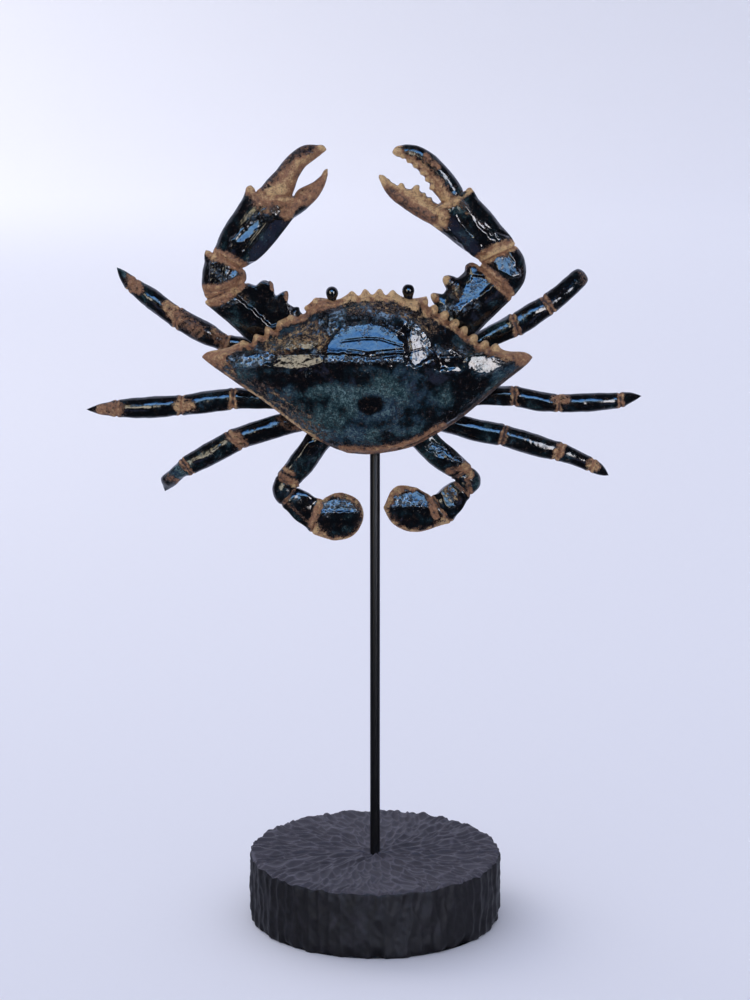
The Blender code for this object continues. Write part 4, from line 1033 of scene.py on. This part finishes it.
class CRAB_OT_base(bpy.types.Operator):
    """Carve the round base with a gouge"""

    bl_idname = "crab.base"
    bl_label = "Base"

    def execute(self, context):
        stand = context.scene.crab_stand
        low, high = box_of("stand_base")
        radius, tall = (high[0] - low[0]) / 2, high[2]
        side_rings, top_rings = 32, 80
        # (radius, height) from the middle of the underside, up the side and in over the top
        rings = [(r, 0.0) for r in (0.0, 25.0, 50.0, 68.0, radius - 3.5, radius - 2.0)]
        rings += [(radius - 1.0, 0.4), (radius - 0.4, 1.2), (radius - 0.1, 2.3)]
        upright = slice(len(rings), len(rings) + side_rings)
        rings += [(radius, z) for z in np.linspace(3.4, tall - 2.4, side_rings)]
        rings += [(radius - 0.15, tall - 1.5), (radius - 0.6, tall - 0.7),
                  (radius - 1.3, tall - 0.2)]
        flat = slice(len(rings), len(rings) + top_rings)
        rings += [(r, tall) for r in np.linspace(radius - 2.1, 1.6, top_rings - 1)] + [(0.0, tall)]
        rings = np.array(rings)
        sunk, inwards = self.solid(rings, stand.steps, upright, flat, radius, tall)

        bm = bmesh.new()
        bmesh.ops.create_grid(bm, x_segments=stand.steps, y_segments=len(rings) - 1, size=0.5)
        obj = piece_from(bm, "carved_base")
        mesh = obj.data
        grid = rows_of(mesh.vertices, "co") + 0.5
        turn = grid[:, 0] * math.tau
        row = np.rint(grid[:, 1] * (len(rings) - 1)).astype(int)
        step = np.rint(grid[:, 0] * stand.steps).astype(int) % stand.steps
        out, rise = rings[row].T
        out = out - inwards[row, step]
        points = np.stack([out * np.cos(turn), out * np.sin(turn), rise - sunk[row, step]], 1)
        points, ridge = self.carve(points, out, rise, turn, stand, radius, tall)
        place_points(mesh, points)
        store(mesh, ridge=ridge)
        bm = bmesh.new()
        bm.from_mesh(mesh)
        bmesh.ops.remove_doubles(bm, verts=bm.verts, dist=0.01 * MM)
        bmesh.ops.recalc_face_normals(bm, faces=bm.faces)
        bm.to_mesh(mesh)
        bm.free()
        mesh.shade_smooth()
        hand_over(obj, stained_limewood(stand), ["stand_base"])
        return {"FINISHED"}

    def solid(self, rings, steps, upright, flat, radius, tall):
        """How far the CAD base lies below and inside the plain disc, softened, on each ring."""
        tree = tree_of("stand_base")
        sunk, inwards = np.zeros((2, len(rings), steps))
        for k, turn in enumerate(np.arange(steps) / steps * math.tau):
            way = Vector((math.cos(turn), math.sin(turn), 0.0))
            for j in range(len(rings))[flat]:
                # clear of the rod in the middle and of the rounded edge
                out = min(max(rings[j, 0], 5.0), radius - 4.0)
                above = Vector((out * math.cos(turn), out * math.sin(turn), 2 * tall)) * MM
                sunk[j, k] = tall - tree.ray_cast(above, Vector((0, 0, -1)))[0].z / MM
            for j in range(len(rings))[upright]:
                outside = (way * 2 * radius + Vector((0, 0, rings[j, 1]))) * MM
                hit = tree.ray_cast(outside, -way)[0]
                inwards[j, k] = radius - math.hypot(hit.x, hit.y) / MM
        for part, rows in ((sunk, flat), (inwards, upright)):
            for _ in range(3):
                part[:] = sum(np.roll(part, k, 1) for k in (-2, -1, 0, 1, 2)) / 5
                inner = part[rows]
                inner[1:-1] = (inner[:-2] + inner[1:-1] + inner[2:]) / 3
        # the rounded edges follow the side and the top
        lower_edge = 6
        inwards[upright.stop:] = inwards[upright.stop - 1]
        inwards[lower_edge:upright.start] = inwards[upright.start]
        inwards[flat] *= np.linspace(1, 0, flat.stop - flat.start)[:, None] ** 6
        sunk[upright.stop:flat.start] = sunk[flat.start] * 0.5
        return sunk, inwards

    def cuts(self, draw, turn, across, count, spread, width, along):
        """How deep inside one ring of cuts each point lies: 0 in a cut's middle, 1 at its edge."""
        jitter = draw.uniform(-spread, spread, count)
        shift = draw.uniform(-0.35, 0.35, count)
        cell = np.mod(turn + draw.uniform(0, math.tau), math.tau) / math.tau * count
        values = []
        for offset in (-1, 0, 1):
            index = np.floor(cell).astype(int) + offset
            slot = np.mod(index, count)
            gap = (cell - index - 0.5 - jitter[slot]) / count * math.tau * across
            values.append((gap / width) ** 2 + (along - shift[slot]) ** 2)
        return values

    def carve(self, points, out, rise, turn, stand, radius, tall):
        """Scoops side by side: each point takes the deepest cut that reaches it."""
        draw = np.random.default_rng(5)
        long, wide = stand.gouge_length / MM, stand.gouge_width / MM
        overlap, most_cuts = 0.62, 104
        top, side = [], []
        swirl = turn + 0.1 * np.sin(out / 21.0 + 1.0) + 0.05 * lumps(points, 22.0, 20)
        for centre in np.arange(7.0, radius + long, 0.55 * long):
            count = min(int(math.tau * max(centre, 9.0) / wide), most_cuts)
            top += self.cuts(draw, swirl, np.clip(out, 0.6 * centre, 1.5 * centre), count, 0.42,
                             overlap * wide, (out - centre) / (overlap * long))
        swirl = turn + 0.02 * lumps(points, 20.0, 25)
        for centre, reach_up in ((0.82, 24.0), (0.22, 26.0)):
            side += self.cuts(draw, swirl, radius, stand.facets, 0.4, 5.0,
                              (rise - centre * tall) / reach_up)
        on_top = ease(rise, tall - 1.6, tall - 0.1) * (out < radius - 0.1)
        on_side = ease(out, radius - 3.2, radius - 1.6) * (1 - 0.3 * on_top)
        top, side = np.sort(top, 0), np.sort(side, 0)
        ridge_top = ease(top[0] - top[1], -0.25, 0.0) * (0.55 + 0.45 * lumps(points, 13.0, 26))
        ridge_side = ease(side[0] - side[1], -0.35, 0.0) * (0.5 + 0.5 * lumps(points, 13.0, 27))

        # the top: cuts, a slight wave, and an edge worn round in places
        hollow = np.clip(0.7 - top[0], 0, 0.7) * stand.gouge_depth / MM
        worn = np.clip(0.9 + 1.1 * lumps(points, 10.0, 28), 0, 3) * bell(radius - out, 4.0)
        points[:, 2] -= on_top * (hollow + 0.1 * (1 + lumps(points, 12.0, 23)))
        points[:, 2] -= worn * ease(rise, tall - 10.0, tall - 1.6)

        # the side: cuts, unevenness, and chips along the lower edge
        hollow = np.clip(0.8 - side[0], 0, 0.8) * 1.3
        uneven = 0.3 * (1 + lumps(points, 15.0, 21)) + 0.22 * lumps(points, 4.5, 22)
        inwards = np.clip(hollow + uneven, 0.0, None)
        chips = np.clip(1.0 + 2.6 * lumps(points * (1, 1, 0), 12.0, 24), 0, 4)
        inwards += chips * ease(-points[:, 2], -8.0, -0.5)
        points[:, :2] *= (1 - on_side * inwards / np.maximum(out, 1.0))[:, None]
        # painted light: the top is painted paler than the side, and its ridges paler still, as wear and a
        # painted highlight
        return points, np.where(on_top > 0.5, 0.5 + 0.8 * ridge_top, 0.14 * ridge_side)


class CRAB_OT_stage(bpy.types.Operator):
    """Set up the paper floor, the window light and the camera"""

    bl_idname = "crab.stage"
    bl_label = "Stage"

    # what glossy surfaces see in front: colour below and above, strength, azimuth from and to,
    # elevation from and to, softness of the edge, all in degrees
    windows = (
        ("#a8b4e8", "#8c9ce0", 1.0, 24, 42, -34, -17, 5),
        ("#a8b4e8", "#8c9ce0", 0.9, -34, -18, -30, -14, 5),
        ("#fff3dc", "#fff3dc", 9.5, -36, -14, -3, 11, 1.5),
        ("#fff3dc", "#ffeec0", 7.0, -44, -31, 8, 30, 2.5),
        ("#a4d4ff", "#4a98f4", 12.0, -25, 20, 17, 42, 3),
        ("#fff8f8", "#e4ecff", 20.0, 21, 39, -4, 24, 2.5),
    )

    def execute(self, context):
        stage = context.scene.crab_stage
        self.paper(stage)
        self.room(context, stage)
        self.lamp(context, "left_window", (-2.0, 1.5, 1.5), 1.8, 15.0, "#fff7ee")
        self.lamp(context, "wall_wash", (-2.4, 5.3, 2.3), 2.0, 44.0, "#fffaf2")
        camera = bpy.data.cameras.new("camera")
        camera.lens = stage.lens
        camera.sensor_width = 36.0
        camera.clip_start, camera.clip_end = 0.05, 50.0
        obj = bpy.data.objects.new("camera", camera)
        context.scene.collection.objects.link(obj)
        obj.location = (0.0, -stage.distance, stage.height)
        obj.rotation_euler = (math.pi / 2 - stage.tilt, 0.0, 0.0)
        context.scene.camera = obj
        context.scene.view_settings.view_transform = "Standard"
        return {"FINISHED"}

    def paper(self, stage):
        """A floor whose edge curves up into a low wall all round."""
        bm = bmesh.new()
        far, bend = stage.radius, stage.radius * 0.2
        profile = [(0.0, 0.0), (far - bend, 0.0)]
        profile += [(far - bend + bend * math.sin(t), bend * (1 - math.cos(t)))
                    for t in np.linspace(0.2, math.pi / 2, 8)]
        verts = [bm.verts.new((x, 0.0, z)) for x, z in profile]
        edges = [bm.edges.new(pair) for pair in zip(verts[:-1], verts[1:])]
        bmesh.ops.spin(bm, geom=verts + edges, cent=(0, 0, 0), axis=(0, 0, 1), angle=math.tau,
                       steps=64, use_merge=True)
        bmesh.ops.remove_doubles(bm, verts=bm.verts, dist=1e-5)
        bmesh.ops.recalc_face_normals(bm, faces=bm.faces)
        floor = piece_from(bm, "paper")
        floor.data.shade_smooth()
        floor.visible_glossy = False
        material, _, surface = new_material("studio_paper")
        surface({"Base Color": stage.floor, "Roughness": 0.9, "Specular IOR Level": 0.1})
        floor.data.materials.append(material)

    def room(self, context, stage):
        """Even light from above, and for glossy surfaces a dim room with windows in front."""
        world = bpy.data.worlds.new("room")
        context.scene.world = world
        world.use_nodes = True
        world.node_tree.nodes.clear()
        node = partial(add_node, world.node_tree)
        way = node("TexCoord")
        x, y, z = (node("SeparateXYZ", {0: way}, out=axis) for axis in range(3))
        azimuth = node("Math", {0: x, 1: node("Math", {0: y, 1: -1.0}, **TIMES)},
                       operation="ARCTAN2")
        elevation = node("Math", {0: z}, operation="ARCSINE")
        seen = (0.03, 0.034, 0.045)
        streaks = node("TexNoise", {"Vector": way, "Scale": 30.0, "Detail": 4.0})
        for lower, upper, strength, left, right, low, high, blur in self.windows:
            share = node("MapRange", {0: streaks, 1: 0.36, 2: 0.6, 3: 0.4})
            for angle, start, end in ((azimuth, left, right), (elevation, low, high)):
                for bound, way_in in ((start, 1.0), (end, -1.0)):
                    at, soft = math.radians(bound), math.radians(blur) * way_in
                    side = node("MapRange", {0: angle, 1: at - soft, 2: at + soft}, **SMOOTH)
                    share = node("Math", {0: side, 1: share}, **TIMES)
            climb = node("MapRange", {0: elevation, 1: math.radians(low), 2: math.radians(high)})
            foot, head = ([strength * c for c in linear(code)] for code in (lower, upper))
            pane = node("Mix", {0: climb, 6: foot, 7: head}, **COLOURS)
            seen = node("Mix", {0: share, 6: seen, 7: pane}, **COLOURS)

        # behind the crab, glossy surfaces see a pale wall
        behind = node("MapRange", {0: y, 1: 0.1, 2: 0.55}, **SMOOTH)
        seen = node("Mix", {0: behind, 6: seen, 7: (0.6, 0.64, 0.85)}, **COLOURS)

        # the even light is brighter from above, and a little brighter from the left and behind
        height = node("MapRange", {0: z, 1: 0.0, 2: 1.0, 3: 0.66, 4: 1.18})
        left = node("VectorMath", {0: way, 1: (-0.36, 0.2, 0.0)}, out=1, operation="DOT_PRODUCT")
        height = node("Math", {0: left, 1: height, 2: height}, **TIMES_PLUS)
        even = node("VectorMath", {0: stage.sky, 1: height}, **TIMES)
        tone = node("Mix", {0: node("LightPath", out=3), 6: even, 7: seen}, **COLOURS)
        node("OutputWorld", {"Surface": node("Background", {"Color": tone})})

    def lamp(self, context, name, place, size, watts, code):
        """A soft lamp aimed at the floor round the base, which surfaces don't mirror."""
        light = bpy.data.lights.new(name, "AREA")
        light.size = size
        light.energy = watts
        light.color = linear(code)
        lamp = bpy.data.objects.new(name, light)
        context.scene.collection.objects.link(lamp)
        lamp.location = place
        aim = Vector((place[0] * 0.3, place[1] * 1.1, 0.1)) - Vector(place)
        lamp.rotation_euler = aim.to_track_quat("-Z", "Y").to_euler()
        lamp.visible_camera = lamp.visible_glossy = False


class CRAB_PT_panel(bpy.types.Panel):
    """Lists the pieces of the crab and their sizes and colours"""

    bl_idname = "CRAB_PT_panel"
    bl_label = "Stoneware crab"
    bl_space_type = "VIEW_3D"
    bl_region_type = "UI"
    bl_category = "Crab"

    def draw(self, context):
        for name, group in GROUPS.items():
            column = self.layout.column(align=True)
            column.label(text=name.replace("_", " "))
            for key in group.__annotations__:
                column.prop(getattr(context.scene, name), key)
        for operator in OPERATORS:
            self.layout.operator(operator.bl_idname)


GROUPS = {"crab_form": CrabForm, "crab_glaze": CrabGlaze, "crab_stand": CarvedStand,
          "crab_stage": StudioStage}
OPERATORS = (CRAB_OT_carapace, CRAB_OT_underside, CRAB_OT_claws, CRAB_OT_walking_legs,
             CRAB_OT_swimming_legs, CRAB_OT_eyes, CRAB_OT_rod, CRAB_OT_base, CRAB_OT_stage)


def register():
    for name, group in GROUPS.items():
        bpy.utils.register_class(group)
        setattr(bpy.types.Scene, name, PointerProperty(type=group))
    for operator in OPERATORS:
        bpy.utils.register_class(operator)
    bpy.utils.register_class(CRAB_PT_panel)


def unregister():
    bpy.utils.unregister_class(CRAB_PT_panel)
    for operator in reversed(OPERATORS):
        bpy.utils.unregister_class(operator)
    for name, group in GROUPS.items():
        delattr(bpy.types.Scene, name)
        bpy.utils.unregister_class(group)


def main():
    register()
    for operator in OPERATORS:
        family, name = operator.bl_idname.split(".")
        getattr(getattr(bpy.ops, family), name)()


if __name__ == "__main__":
    main()
